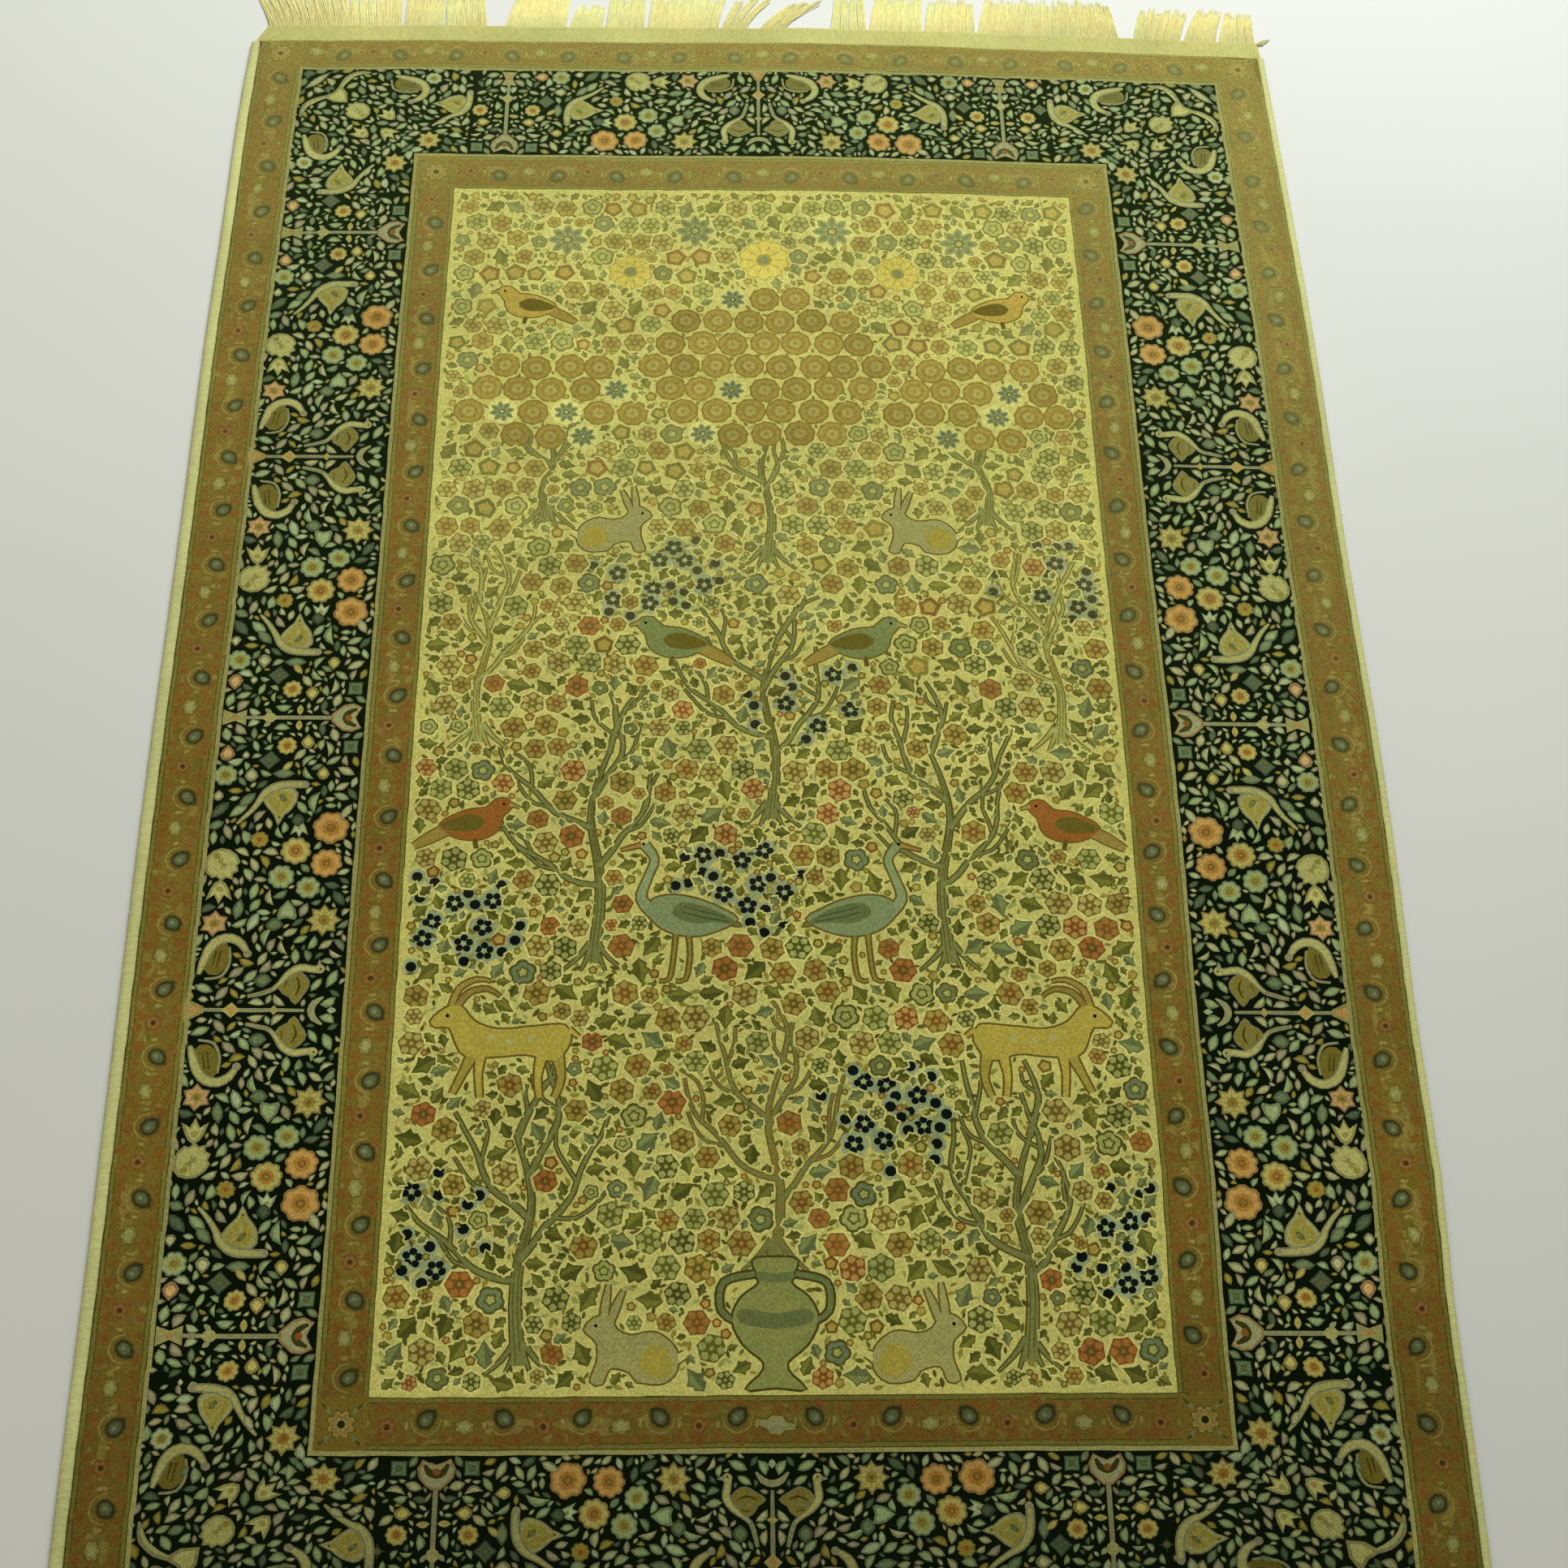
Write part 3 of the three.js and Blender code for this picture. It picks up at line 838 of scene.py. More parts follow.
def wide_bloom():
    """The two-lobed flower in the middle of the near inner guard."""
    design = Design()
    design.add(blend("guard", "guard_line", 0.8), petal_ring(4, 19, 0.34, math.pi / 4) * (1, 0.5))
    design.add(tone("gold_cream", 0.92), petal_ring(4, 17, 0.38, math.pi / 4) * (1, 0.48))
    design.add(tone("cream", 0.94), petal_ring(4, 10, 0.38, math.pi / 4) * (1, 0.48))
    return design


def guard_flower(design, x, y, flower, rng):
    """A flower in its ring of vine."""
    ring_line = curve(ring([13.6, 12.6, 12.6, 13.6, 12.6, 12.6]) * (1, 0.94) + (x, y), 7, closed=True)
    design.add(tone("guard_vine", 0.95), ribbon(np.vstack([ring_line, ring_line[:1]]), (1.9, 1.9)))
    design.at(flower, x, y, rng.uniform(-10, 10), rng.uniform(0.95, 1.08))


def arched_drop(design, x, y, side, rng):
    """A drop under its arch of vine, leaning to one side."""
    arch = [(x - 13, y), (x - 10, y + 9), (x, y + 14), (x + 10, y + 9), (x + 13, y)]
    design.add(tone("guard_vine", 0.90), stroke(arch, (1.2, 1.8, 1.2), 7))
    design.at(guard_drop(), x, y, -90 + side * 45, rng.uniform(0.96, 1.06))


def guard_strip(length, width, rng, centred, middle):
    """A guard band from 0 to length along x, with its width about y = 0 and its outer edge at +y.

    A centred band has a flower half way, made by middle."""
    design = Design()
    half = width / 2
    count = max(2, round(length / GUARD_PITCH))
    if centred and count % 2 == 0:
        count += 1
    pitch = length / count
    shift = (1 - count // 2) % 4 if centred else 0
    for i in range(count):
        start = i * pitch
        ground = bar(start, -half, start + pitch, half, GUARD_PITCH)
        design.add(tone("guard", rng.uniform(0.97, 1.03)), ground)
        guard_edges(design, start, start + pitch, half)
    for wear in (streaks, spots, blots):
        wear(design, length, half - EDGE_MARGIN, rng)
    for i in range(count):
        x = (i + 0.5) * pitch
        turn = (i + shift) % 4
        if turn % 2:
            flower = middle() if centred and i == count // 2 else (guard_bloom, guard_poppy)[turn // 2]()
            guard_flower(design, x, 0.06 * width, flower, rng)
        else:
            arched_drop(design, x, -0.09 * width, 1 if turn == 0 else -1, rng)
        for reach in (-0.5, 0.5):
            knot = moved(leaf_outline(6, 3.4), x + reach * pitch, rng.uniform(-3, 3), rng.uniform(60, 120))
            design.add(tone("guard_vine", rng.uniform(0.86, 0.98)), knot)
    return design


def guard_corner(design, x, y, size):
    """The square where two guard bands meet, with one flower."""
    design.add(tone("guard", 1.04), moved(bar(-size[0] / 2, -size[1] / 2, size[0] / 2, size[1] / 2), x, y))
    flower = Design(
        ("guard_line", 1.0, petal_ring(8, 13.6, 0.26)),
        ("guard_vine", 0.98, petal_ring(8, 12.4, 0.3)),
        ("orange", 0.86, petal_ring(8, 10, 0.32)),
        ("gold", 0.92, petal_ring(8, 6.6, 0.3)),
        ("olive_dark", 0.72, disc(3.6, 8)),
    )
    design.at(flower, x, y)
    for turn in (45, 135, 225, 315):
        for reach, dye, wide in ((17.5, "pale", 3.6), (22, "guard_line", 2.6)):
            tip = along(math.radians(turn), reach)
            design.add(tone(dye, 0.88), moved(leaf_outline(8, wide), x + tip[0], y + tip[1], turn))


def painted_glare_and_shade(colour, x, y):
    """A guard colour by its place: painted glare makes it paler and greener towards the far right, and
    painted shade makes it deeper at the near end.
    """
    share = float(np.interp(y + 0.35 * x, (-300, 200, 900), (0.0, 0.10, 0.42)))
    light = float(np.interp(y, (-820, -700, -500), (0.72, 0.76, 0.96)))
    return tuple(light * (part * (1 - share) + far * share) for part, far in zip(colour, tone("guard_far_glare")))


def draw_guards(design, outer, inner, seed, wide_flower=False):
    """The four guard strips between two rectangles, each a dict of left, right, far and near."""
    rng = random.Random(seed)
    middle_x = (inner["left"] + inner["right"]) / 2
    middle_y = (inner["far"] + inner["near"]) / 2
    bands = Design()
    for name, turn in (("far", 0), ("near", 180), ("left", 90), ("right", -90)):
        ends = name in ("far", "near")
        length = (inner["right"] - inner["left"]) if ends else (inner["far"] - inner["near"])
        width = abs(outer[name] - inner[name])
        across = (outer[name] + inner[name]) / 2
        centre = (middle_x, across) if ends else (across, middle_y)
        strip = Design()
        middle = wide_bloom if wide_flower and name == "near" else guard_bloom
        strip.put(guard_strip(length, width, rng, ends, middle), lambda p: p - (length / 2, 0))
        bands.at(strip, *centre, turn)
    for across in ("left", "right"):
        for end in ("far", "near"):
            size = (abs(outer[across] - inner[across]), abs(outer[end] - inner[end]))
            guard_corner(bands, (outer[across] + inner[across]) / 2, (outer[end] + inner[end]) / 2, size)
    # Painted glare and painted shade, by each shape's place
    for colour, outline in bands.shapes:
        design.add(painted_glare_and_shade(colour, *outline.mean(axis=0)), outline)


# The field


def field_rose(size, dye, heart, rim="brown", petals=6):
    """A round many-petalled flower with a dark outline, in its own pale halo."""
    r = size / 2
    tips = [along(2 * math.pi * (k + 0.5) / petals, r * 0.62) for k in range(petals)]
    return Design(
        ("field_light", 1.0, petal_ring(petals, r + 2.2, 0.10, 0, 2)),
        (rim, 0.96, petal_ring(petals, r, 0.14, 0, 2)),
        *((dye, 1.0, moved(disc(r * 0.28, 5), *tip, 360 * k / petals)) for k, tip in enumerate(tips)),
        (heart, 0.95, disc(r * 0.36, 6)),
        (dye, 1.0, disc(r * 0.17, 4)),
    )


def field_crown(size):
    """One rosette of a leafy crown."""
    r = size / 2
    return Design(
        ("brown", 1.06, petal_ring(9, r, 0.08, 0, 2)),
        ("brown_light", 0.96, ring([r * 0.84] * 12)),
        ("brown", 1.16, petal_ring(8, r * 0.64, 0.14, 0, 2)),
        ("gold", 0.94, disc(r * 0.40, 8)),
        ("brown", 1.2, disc(r * 0.15, 5)),
    )


def field_ivy(size, dye):
    """A leaf with a lobe at each side and a lighter half."""
    outline = size * both_sides(-0.5, [(-0.28, -0.26), (-0.14, -0.22), (0.0, -0.38), (0.14, -0.20)], 0.5)
    lighter = size * np.array([(-0.42, 0.0), (0.40, 0.0), (0.10, 0.16), (0.0, 0.28), (-0.12, 0.16),
                               (-0.24, 0.18)])
    return Design(("field_light", 1.0, swell(outline, 2.0)), (dye, 0.92, outline), (dye, 1.18, lighter))


def field_night(size):
    """A dark five-petalled flower with a pale halo and eye."""
    r = size / 2
    tips = [along(2 * math.pi * k / 5 + 0.3, r * 0.60) for k in range(5)]
    return Design(
        ("white_green", 0.94, petal_ring(5, r * 1.40, 0.12, 0.3, 3)),
        *(("ink", 1.0, moved(disc(r * 0.38, 7), *tip)) for tip in tips),
        ("pale", 1.15, disc(r * 0.22, 6)),
    )


def field_berry(size):
    return Design(("white_green", 0.94, disc(size * 0.84, 8)), ("ink", 1.0, disc(size * 0.5, 8)))


def field_pansy(size, dye="leaf_blue"):
    """A five-petalled flower with a dark ring about its heart."""
    r = size / 2
    return Design(
        ("field_light", 1.0, petal_ring(5, r + 2.0, 0.14, 0.2, 3)),
        ("trunk_edge", 1.04, petal_ring(5, r, 0.18, 0.2, 4)),
        (dye, 1.0, petal_ring(5, r * 0.80, 0.18, 0.2, 4)),
        ("trunk_edge", 1.1, petal_ring(5, r * 0.48, 0.3, 0.2, 3)),
        ("halo", 1.05, petal_ring(5, r * 0.30, 0.3, 0.2, 3)),
    )


def field_aster(size):
    """A star flower of eight slim dark petals on a pale disc."""
    r = size / 2
    petals = []
    for k in range(8):
        angle = 2 * math.pi * k / 8
        tip = along(angle, r * 0.60)
        turn = math.degrees(angle)
        petals.append(("grey_green", 1.0, moved(leaf_outline(r * 0.84, r * 0.46), *tip, turn)))
        petals.append(("slate", 1.0, moved(leaf_outline(r * 0.5, r * 0.18, 0, 2), *tip, turn)))
    return Design(
        ("field_light", 1.02, petal_ring(8, r * 1.24, 0.10, 0, 3)),
        *petals,
        ("slate", 0.9, disc(r * 0.30, 8)),
        ("gold", 1.0, disc(r * 0.16, 6)),
    )


def field_sun(size):
    """A broad yellow flower with a dark eye."""
    r = size / 2
    tips = [along(2 * math.pi * k / 10, r * 0.56) for k in range(10)]
    rib = leaf_outline(r * 0.5, r * 0.12, 0, 2)
    return Design(
        ("olive_gold", 1.16, petal_ring(10, r * 1.03, 0.14, 0, 3)),
        ("straw", 1.06, petal_ring(10, r * 0.95, 0.14, 0, 3)),
        *(("gold", 0.96, moved(rib, *tip, 36.0 * k)) for k, tip in enumerate(tips)),
        ("olive_gold", 1.0, disc(r * 0.32, 9)),
        ("grey_green", 0.9, disc(r * 0.22, 7)),
    )


def field_bud(size, dye):
    """A small round bloom."""
    r = size / 2
    return Design(
        (dye, 0.90, petal_ring(5, r, 0.2, 0, 2)),
        ("brown_light", 1.06, petal_ring(5, r * 0.60, 0.2, 0, 2)),
    )


def field_sprig(size, dye):
    """A slender leaf."""
    return Design((dye, 1.0, leaf_outline(size, size * 0.44, size * 0.06, 3)))


FIELD_KINDS = {
    "rose": (field_rose, (("brown_light", "olive", "brown"), ("gold", "brown", "brown"),
                          ("brown_light", "rust", "brown"))),
    "green_rose": (field_rose, (("halo", "leaf_green", "leaf_green"), ("halo", "leaf_dark", "trunk_edge"))),
    "red_rose": (field_rose, (("rose_red", "rust", "brown"), ("orange", "rust", "rust"),
                              ("rose_red", "olive", "rust"))),
    "ivy": (field_ivy, (("leaf_green",), ("leaf_green",), ("leaf_dark",), ("leaf_blue",))),
    "night": (field_night, ((),)),
    "berry": (field_berry, ((),)),
    "pansy": (field_pansy, (("leaf_blue",), ("halo",), ("grey_green",))),
    "aster": (field_aster, ((),)),
    "sun": (field_sun, ((),)),
    "crown": (field_crown, ((),)),
    "bud": (field_bud, (("brown",), ("leaf_green",), ("olive_gold",), ("rust",))),
    "sprig": (field_sprig, (("leaf_green",), ("trunk_edge",), ("halo",), ("olive_gold",))),
}


def creature(parts, edge=2.0, line="brown"):
    """An outlined figure: closed curves, ribbons and dots, all edges below all fills."""
    design = Design()
    fills = []
    for kind, points, widths, dye, light in parts:
        if kind == "form":
            outline = curve(points, 7, closed=True)
            around = swell(outline, edge)
        elif kind == "limb":
            line_points = curve(points, 7)
            outline = ribbon(line_points, widths)
            around = ribbon(line_points, [w + 2 * edge for w in widths])
        else:
            outline = moved(disc(widths, 8), *points)
            around = None
        if around is not None and kind != "mark":
            design.add(tone(line, 0.86), around)
        fills.append((tone(dye, light), outline))
    for colour, outline in fills:
        design.add(colour, outline)
    return design


def crane():
    """A standing crane that looks to the right."""
    parts = [
        ("limb", [(-4, 52), (-6, 28), (-2, 2), (8, 0)], (3.4, 2.6, 2.6, 2.0), "olive_gold", 1.0),
        ("limb", [(8, 52), (10, 26), (14, 2), (24, 0)], (3.4, 2.6, 2.6, 2.0), "olive_gold", 1.0),
        ("limb", [(26, 70), (42, 88), (36, 112), (30, 132), (40, 148)], (14, 9, 7, 7, 9), "pale", 0.98),
        ("form", [(-52, 66), (-34, 54), (-8, 48), (18, 54), (36, 72), (30, 88), (8, 92), (-18, 86),
                  (-38, 76)], None, "pale", 0.92),
        ("form", [(-56, 58), (-34, 62), (-6, 62), (12, 72), (4, 84), (-20, 80), (-40, 70)],
         None, "leaf_blue", 0.96),
        ("limb", [(43, 148), (64, 142)], (4.6, 1.4), "orange", 0.9),
        ("limb", [(-44, 63), (-18, 68), (2, 74)], (1.6, 2.0, 1.4), "slate", 0.9),
        ("limb", [(-40, 68), (-16, 75), (0, 79)], (1.4, 1.8, 1.2), "slate", 0.9),
        ("dot", (41, 149), 1.8, "ink", 1.0),
    ]
    return creature(parts)


def hare():
    """A sitting hare that looks to the right."""
    parts = [
        ("limb", [(-46, 24), (-56, 30)], (10, 7), "field_light", 0.98),
        ("limb", [(22, 62), (14, 84), (8, 98)], (7, 8, 3), "gold_cream", 0.92),
        ("limb", [(28, 64), (26, 88), (24, 104)], (7, 8, 3), "gold_cream", 0.96),
        ("form", [(-48, 14), (-46, 36), (-26, 52), (0, 50), (14, 56), (24, 70), (38, 68), (48, 56), (40, 48),
                  (34, 40), (34, 22), (40, 2), (28, 0), (20, 16), (0, 12), (-8, 2), (-34, 0)],
         None, "gold_cream", 0.94),
        ("form", [(-44, 16), (-36, 36), (-18, 38), (-8, 22), (-18, 8), (-36, 6)], None, "olive_gold", 1.16),
        ("dot", (36, 60), 2.0, "ink", 1.0),
    ]
    return creature(parts)


def goat():
    """A walking goat with swept horns that looks to the right."""
    parts = [
        ("limb", [(-46, 44), (-50, 20), (-44, 0)], (11, 6, 5), "straw", 0.80),
        ("limb", [(34, 44), (44, 22), (52, 4)], (10, 6, 5), "straw", 0.80),
        ("limb", [(52, 92), (40, 108), (22, 112), (10, 104)], (5, 5, 4, 1.6), "brown_light", 0.9),
        ("limb", [(57, 92), (50, 112), (34, 122), (20, 120)], (5, 5, 4, 1.6), "brown_light", 1.0),
        ("form", [(-58, 58), (-52, 74), (-20, 72), (12, 70), (34, 78), (48, 94), (62, 92), (76, 78), (70, 72),
                  (58, 72), (50, 54), (40, 42), (14, 42), (-16, 44), (-44, 38)], None, "straw", 0.90),
        ("limb", [(-32, 46), (-28, 22), (-30, 0)], (11, 6, 5), "straw", 0.90),
        ("limb", [(26, 46), (28, 24), (26, 0)], (10, 6, 5), "straw", 0.90),
        ("limb", [(-56, 70), (-66, 62)], (5, 3), "straw", 0.9),
        ("dot", (60, 84), 2.0, "ink", 1.0),
        ("dot", (-20, 60), 4.0, "gold_cream", 1.04),
        ("dot", (0, 58), 3.6, "gold_cream", 1.04),
        ("dot", (18, 61), 3.8, "gold_cream", 1.04),
    ]
    return creature(parts)


def partridge(coat="rust"):
    """A plump perching bird that looks to the right."""
    parts = [
        ("limb", [(-24, 14), (-44, 2), (-60, -8)], (13, 12, 6), "brown_light", 0.96),
        ("form", [(-34, 18), (-20, 4), (4, 0), (24, 10), (30, 28), (38, 38), (34, 48), (22, 48), (12, 38),
                  (-10, 34)], None, coat, 1.12),
        ("form", [(-34, 16), (-18, 10), (4, 12), (12, 22), (0, 30), (-18, 26)], None, "olive", 1.05),
        ("limb", [(36, 42), (47, 38)], (4.6, 1.2), "gold", 0.9),
        ("limb", [(2, 2), (4, -10)], (2.4, 2.0), "brown", 0.8),
        ("dot", (30, 42), 1.7, "ink", 1.0),
    ]
    return creature(parts, 1.6)


def vase():
    """A footed flower vase with two handles, its mouth at y = 118."""
    parts = [
        ("limb", [(-18, 104), (-46, 96), (-48, 70), (-30, 58)], (5, 5, 5, 4), "leaf_blue", 1.0),
        ("limb", [(18, 104), (46, 96), (48, 70), (30, 58)], (5, 5, 5, 4), "leaf_blue", 1.0),
        ("form", [(-26, 0), (-14, 12), (-10, 24), (-28, 40), (-38, 62), (-30, 82), (-14, 96), (-20, 116),
                  (0, 119), (20, 116), (14, 96), (30, 82), (38, 62), (28, 40), (10, 24), (14, 12), (26, 0),
                  (0, 2)], None, "trunk", 1.12),
        ("form", [(-32, 60), (0, 54), (32, 60), (30, 72), (0, 68), (-30, 72)], None, "leaf_blue", 0.95),
        ("form", [(-15, 98), (0, 96), (15, 98), (16, 106), (0, 104), (-16, 106)], None, "leaf_blue", 1.0),
    ]
    return creature(parts, 2.2, "trunk_edge")


def toward_field_ground(colour, share):
    """A colour moved towards the ground of the field."""
    return tuple(part * (1 - share) + ground * share for part, ground in zip(colour, tone("field")))


def ground_mix_at(y):
    """How far the colours are mixed towards the ground: more towards the far end."""
    return float(np.interp(y, (-250, 50, 250, 686), (0.0, 0.06, 0.22, 0.27)))


class Garden:
    """The field as it is being planted: figures first, then branches, then flowers on what is bare."""

    def __init__(self, seed):
        self.rng = random.Random(seed)
        self.edges = Design()
        self.fills = Design()
        self.flowers = Design()
        self.figures = Design()
        self.low = (FIELD["left"] + 3, FIELD["near"] + 3)
        self.high = (FIELD["right"] - 3, FIELD["far"] - 3)
        self.ground = Ground(self.low, self.high, 2.0)
        self.perches = []

    def figure(self, design, x, y, size=1.0, mirror=False):
        placed = Design()
        placed.at(design, x, y, 0, size, mirror)
        self.figures.put(placed)
        for _, outline in placed.shapes:
            self.ground.cover(outline, 2.0)

    def inside(self, point):
        return self.low[0] < point[0] < self.high[0] and self.low[1] < point[1] < self.high[1]

    def limb(self, line, widths, dye, edge, cover=3.0):
        """A stretch of trunk or branch with its dark outline."""
        share = 0.8 * ground_mix_at(line[0][1])
        self.edges.add(toward_field_ground(tone(edge, 0.95), share), ribbon(line, [w + 3.0 for w in widths]))
        self.fills.add(toward_field_ground(tone(dye, 1.0), share), ribbon(line, widths))
        self.ground.cover(ribbon(line, [w + cover for w in widths]))

    def branch(self, start, heading, length, width, bend, dye, edge, twigs=2):
        """A tapering branch that curls one way, with short twigs at its sides."""
        rng = self.rng
        steps = max(3, round(length / 20))
        points = [np.asarray(start, float)]
        angle = heading
        for k in range(steps):
            angle += bend / steps + 0.30 * math.sin(k * 1.7 + heading * 3) + rng.uniform(-0.06, 0.06)
            step = points[-1] + along(angle, length / steps)
            if not self.inside(step):
                break
            points.append(step)
        if len(points) < 3:
            return
        line = curve(points, 8)
        tip = max(1.2, width * 0.34)
        self.limb(line, (width, (width + tip) / 2, tip), dye, edge)
        for k in range(1, len(line) - 1, 3):
            ahead = line[k + 1] - line[k]
            self.perches.append((line[k], math.atan2(ahead[1], ahead[0])))
        side = 1 if bend > 0 else -1
        for k in range(twigs):
            at = int((0.36 + 0.5 * k / twigs) * (len(line) - 1))
            ahead = line[at + 1] - line[at]
            side = -side
            turn = math.atan2(ahead[1], ahead[0]) + side * rng.uniform(0.7, 1.0)
            reach = length * rng.uniform(0.32, 0.44)
            self.branch(line[at], turn, reach, tip * 1.3, side * -0.9, dye, edge, 0)

    def tree(self, x, y, height, spread, limbs, side=1, dye="trunk", edge="trunk_edge", stout=10):
        """A trunk with spreading roots and curling limbs: how far up, how long, and lean in degrees."""
        top = (x + side * 0.05 * height, y + height)
        trunk = curve([(x, y), (x + side * 5, y + height * 0.35), (x - side * 6, y + height * 0.7), top], 10)
        for lean in (-30, -12, 12, 30):
            root = curve([(x + lean * 0.1, y + 22), (x + lean * 0.5, y + 6), (x + lean, y - 8)], 6)
            self.limb(root, (5, 3, 1), dye, edge)
        self.limb(trunk, (stout + 1, stout - 2, stout * 0.5, 2.2), dye, edge)
        bark = ((-0.22, 0.0, 0.6), (0.18, 0.1, 0.8), (0.0, 0.4, 0.9))
        for shift, low, high in bark:
            part = trunk[int(low * len(trunk)):int(high * len(trunk))] + (shift * stout, 0)
            self.fills.add(toward_field_ground(tone(edge, 1.12), 0.8 * ground_mix_at(y)), ribbon(part, (1.2, 1.0)))
        for up, reach, lean in limbs:
            at = trunk[int(up * (len(trunk) - 1))]
            curl = math.copysign(self.rng.uniform(0.5, 1.2), lean)
            self.branch(at, math.radians(90 - lean), reach * spread, stout * 0.5, curl, dye, edge)

    def crown(self, x, y, wide, tall, pitch=35):
        """A domed crown of rosettes that just touch."""
        rise = pitch * 0.88
        across = int(wide / pitch) + 1
        for j in range(int(2 * tall / rise) + 1):
            dy = -tall + (j + 0.5) * rise
            for i in range(-across, across + 1):
                dx = (i + 0.5 * (j % 2)) * pitch
                if (dx / wide) ** 2 + (dy / tall) ** 2 > 1.0:
                    continue
                place = (x + dx + self.rng.uniform(-2, 2), y + dy + self.rng.uniform(-2, 2))
                kind, size = ("crown", pitch) if self.rng.random() < 0.88 else ("aster", pitch * 0.8)
                self.plant(*place, size, kind, self.rng.uniform(0, 40), 0.12)
                self.ground.cover(moved(disc(pitch * 0.5, 10), *place), 0.5)

    def plant(self, x, y, size, kind, turn, share):
        """One flower or leaf, with its own strength of dye."""
        maker, choices = FIELD_KINDS[kind]
        light = self.rng.uniform(0.88, 1.10)
        motif = maker(size, *self.rng.choice(choices))
        motif.shapes = [(tuple(part * light for part in toward_field_ground(colour, share)), outline)
                        for colour, outline in motif.shapes]
        self.flowers.at(motif, x, y, turn)

    def flower(self, x, y, size, kind, turn, gap=0.4, spare=2):
        """Plants one flower or leaf if its place is bare."""
        slim = {"sprig": 0.44, "ivy": 0.72}.get(kind)
        outline = moved(leaf_outline(size, size * slim) if slim else disc(size / 2, 8), x, y, turn)
        if not self.ground.bare(outline, gap, spare):
            return False
        self.plant(x, y, size, kind, turn, ground_mix_at(y))
        self.ground.cover(outline, 0.3)
        return True

    def dress_branches(self):
        """Leaves and flowers close beside the branches."""
        kinds = ("ivy", "ivy", "rose", "red_rose", "ivy", "green_rose", "ivy", "rose", "rose")
        self.rng.shuffle(self.perches)
        for at, angle in self.perches:
            for _ in range(3):
                side = self.rng.choice((-1, 1))
                kind = self.rng.choice(kinds)
                size = self.rng.uniform(19, 23) if kind == "ivy" else self.rng.uniform(23, 28)
                place = at + along(angle + side * self.rng.uniform(1.1, 2.0), size * 0.56 + 2)
                turn = math.degrees(angle) + side * 60 + self.rng.uniform(-20, 20)
                self.flower(*place, size, kind, turn, 0.2)

    def carpet(self, pitch, sizes, low_kinds, high_kinds):
        """Flowers in loose staggered rows, each as large as its place allows."""
        rng = self.rng
        rise = pitch * 0.87
        for j in range(int((self.high[1] - self.low[1]) / rise) + 1):
            for i in range(int((self.high[0] - self.low[0]) / pitch) + 2):
                x = self.low[0] + (i + 0.5 * (j % 2)) * pitch + rng.uniform(-3, 3)
                y = self.low[1] + (j + 0.5) * rise + rng.uniform(-3, 3)
                kind = rng.choice(low_kinds if y < rng.uniform(-20, 220) else high_kinds)
                for size in sizes:
                    if self.flower(x, y, size * rng.uniform(0.94, 1.04), kind, rng.uniform(0, 360)):
                        break

    def scatter(self, size, kinds, tries, gap=0.4):
        for _ in range(tries):
            x, y = self.ground.pick(self.rng)
            kind = self.rng.choice(kinds)
            self.flower(x, y, size * self.rng.uniform(0.90, 1.06), kind, self.rng.uniform(0, 360), gap)

    def bed(self, x, y, reach, size, kind, tries, gap):
        """A loose bed of one kind of flower."""
        for _ in range(tries):
            angle, out = self.rng.uniform(0, 2 * math.pi), math.sqrt(self.rng.random())
            place = (x + reach[0] * out * math.cos(angle), y + reach[1] * out * math.sin(angle))
            self.flower(*place, size, kind, self.rng.uniform(0, 72), gap)

    def planted(self):
        """Everything in painter's order."""
        design = Design()
        design.add(tone("field"), bar(FIELD["left"], FIELD["near"], FIELD["right"], FIELD["far"]))
        for layer in (self.edges, self.fills, self.flowers, self.figures):
            design.put(layer)
        return design


# Trees of the field: x, y, height, spread, limbs, side, dyes and stoutness, for one side of the garden

SIDE_TREES = (
    (226, -668, 216, 160,
     ((0.36, 0.8, 66), (0.46, 1.0, -60), (0.64, 0.8, 44), (0.80, 0.8, -40), (0.97, 0.5, 8)),
     1, "trunk", "trunk_edge", 11),
    (170, -282, 236, 150,
     ((0.36, 0.9, 72), (0.46, 0.8, -62), (0.62, 0.9, 52), (0.78, 0.9, -44), (0.97, 0.6, 14)),
     -1, "trunk", "trunk_edge", 10),
    (290, -40, 176, 120, ((0.46, 0.9, -64), (0.66, 0.6, 40), (0.80, 0.9, -36), (0.97, 0.5, -10)),
     1, "halo", "brown", 8),
    (232, 226, 120, 90, ((0.6, 0.7, 56), (0.66, 0.7, -56)), 1, "trunk", "trunk_edge", 8),
)
MIDDLE_TREES = (
    (0, -576, 196, 140,
     ((0.30, 1.0, 66), (0.40, 1.0, -66), (0.66, 0.8, 46), (0.72, 0.8, -46), (0.97, 0.5, 6)),
     1, "trunk", "brown", 8),
    (0, -128, 216, 140,
     ((0.36, 1.0, 68), (0.46, 1.0, -68), (0.70, 0.8, 48), (0.76, 0.8, -48), (0.97, 0.5, -6)),
     1, "trunk", "trunk_edge", 9),
    (0, 176, 176, 90, ((0.56, 0.8, 52), (0.62, 0.8, -52)), 1, "trunk", "trunk_edge", 9),
)
CROWNS = ((-232, 392, 100, 68), (232, 392, 100, 68), (0, 430, 140, 104))  # x, y and half sizes
BIG_FLOWERS = (
    (0, 584, 58, "sun"), (150, 566, 50, "sun"), (-150, 566, 50, "sun"),
    (-78, 626, 46, "aster"), (78, 626, 46, "aster"), (-222, 612, 46, "aster"), (222, 612, 46, "aster"),
    (-312, 548, 40, "aster"), (312, 548, 40, "aster"),
)

# Beds of dark flowers and berries share their middles

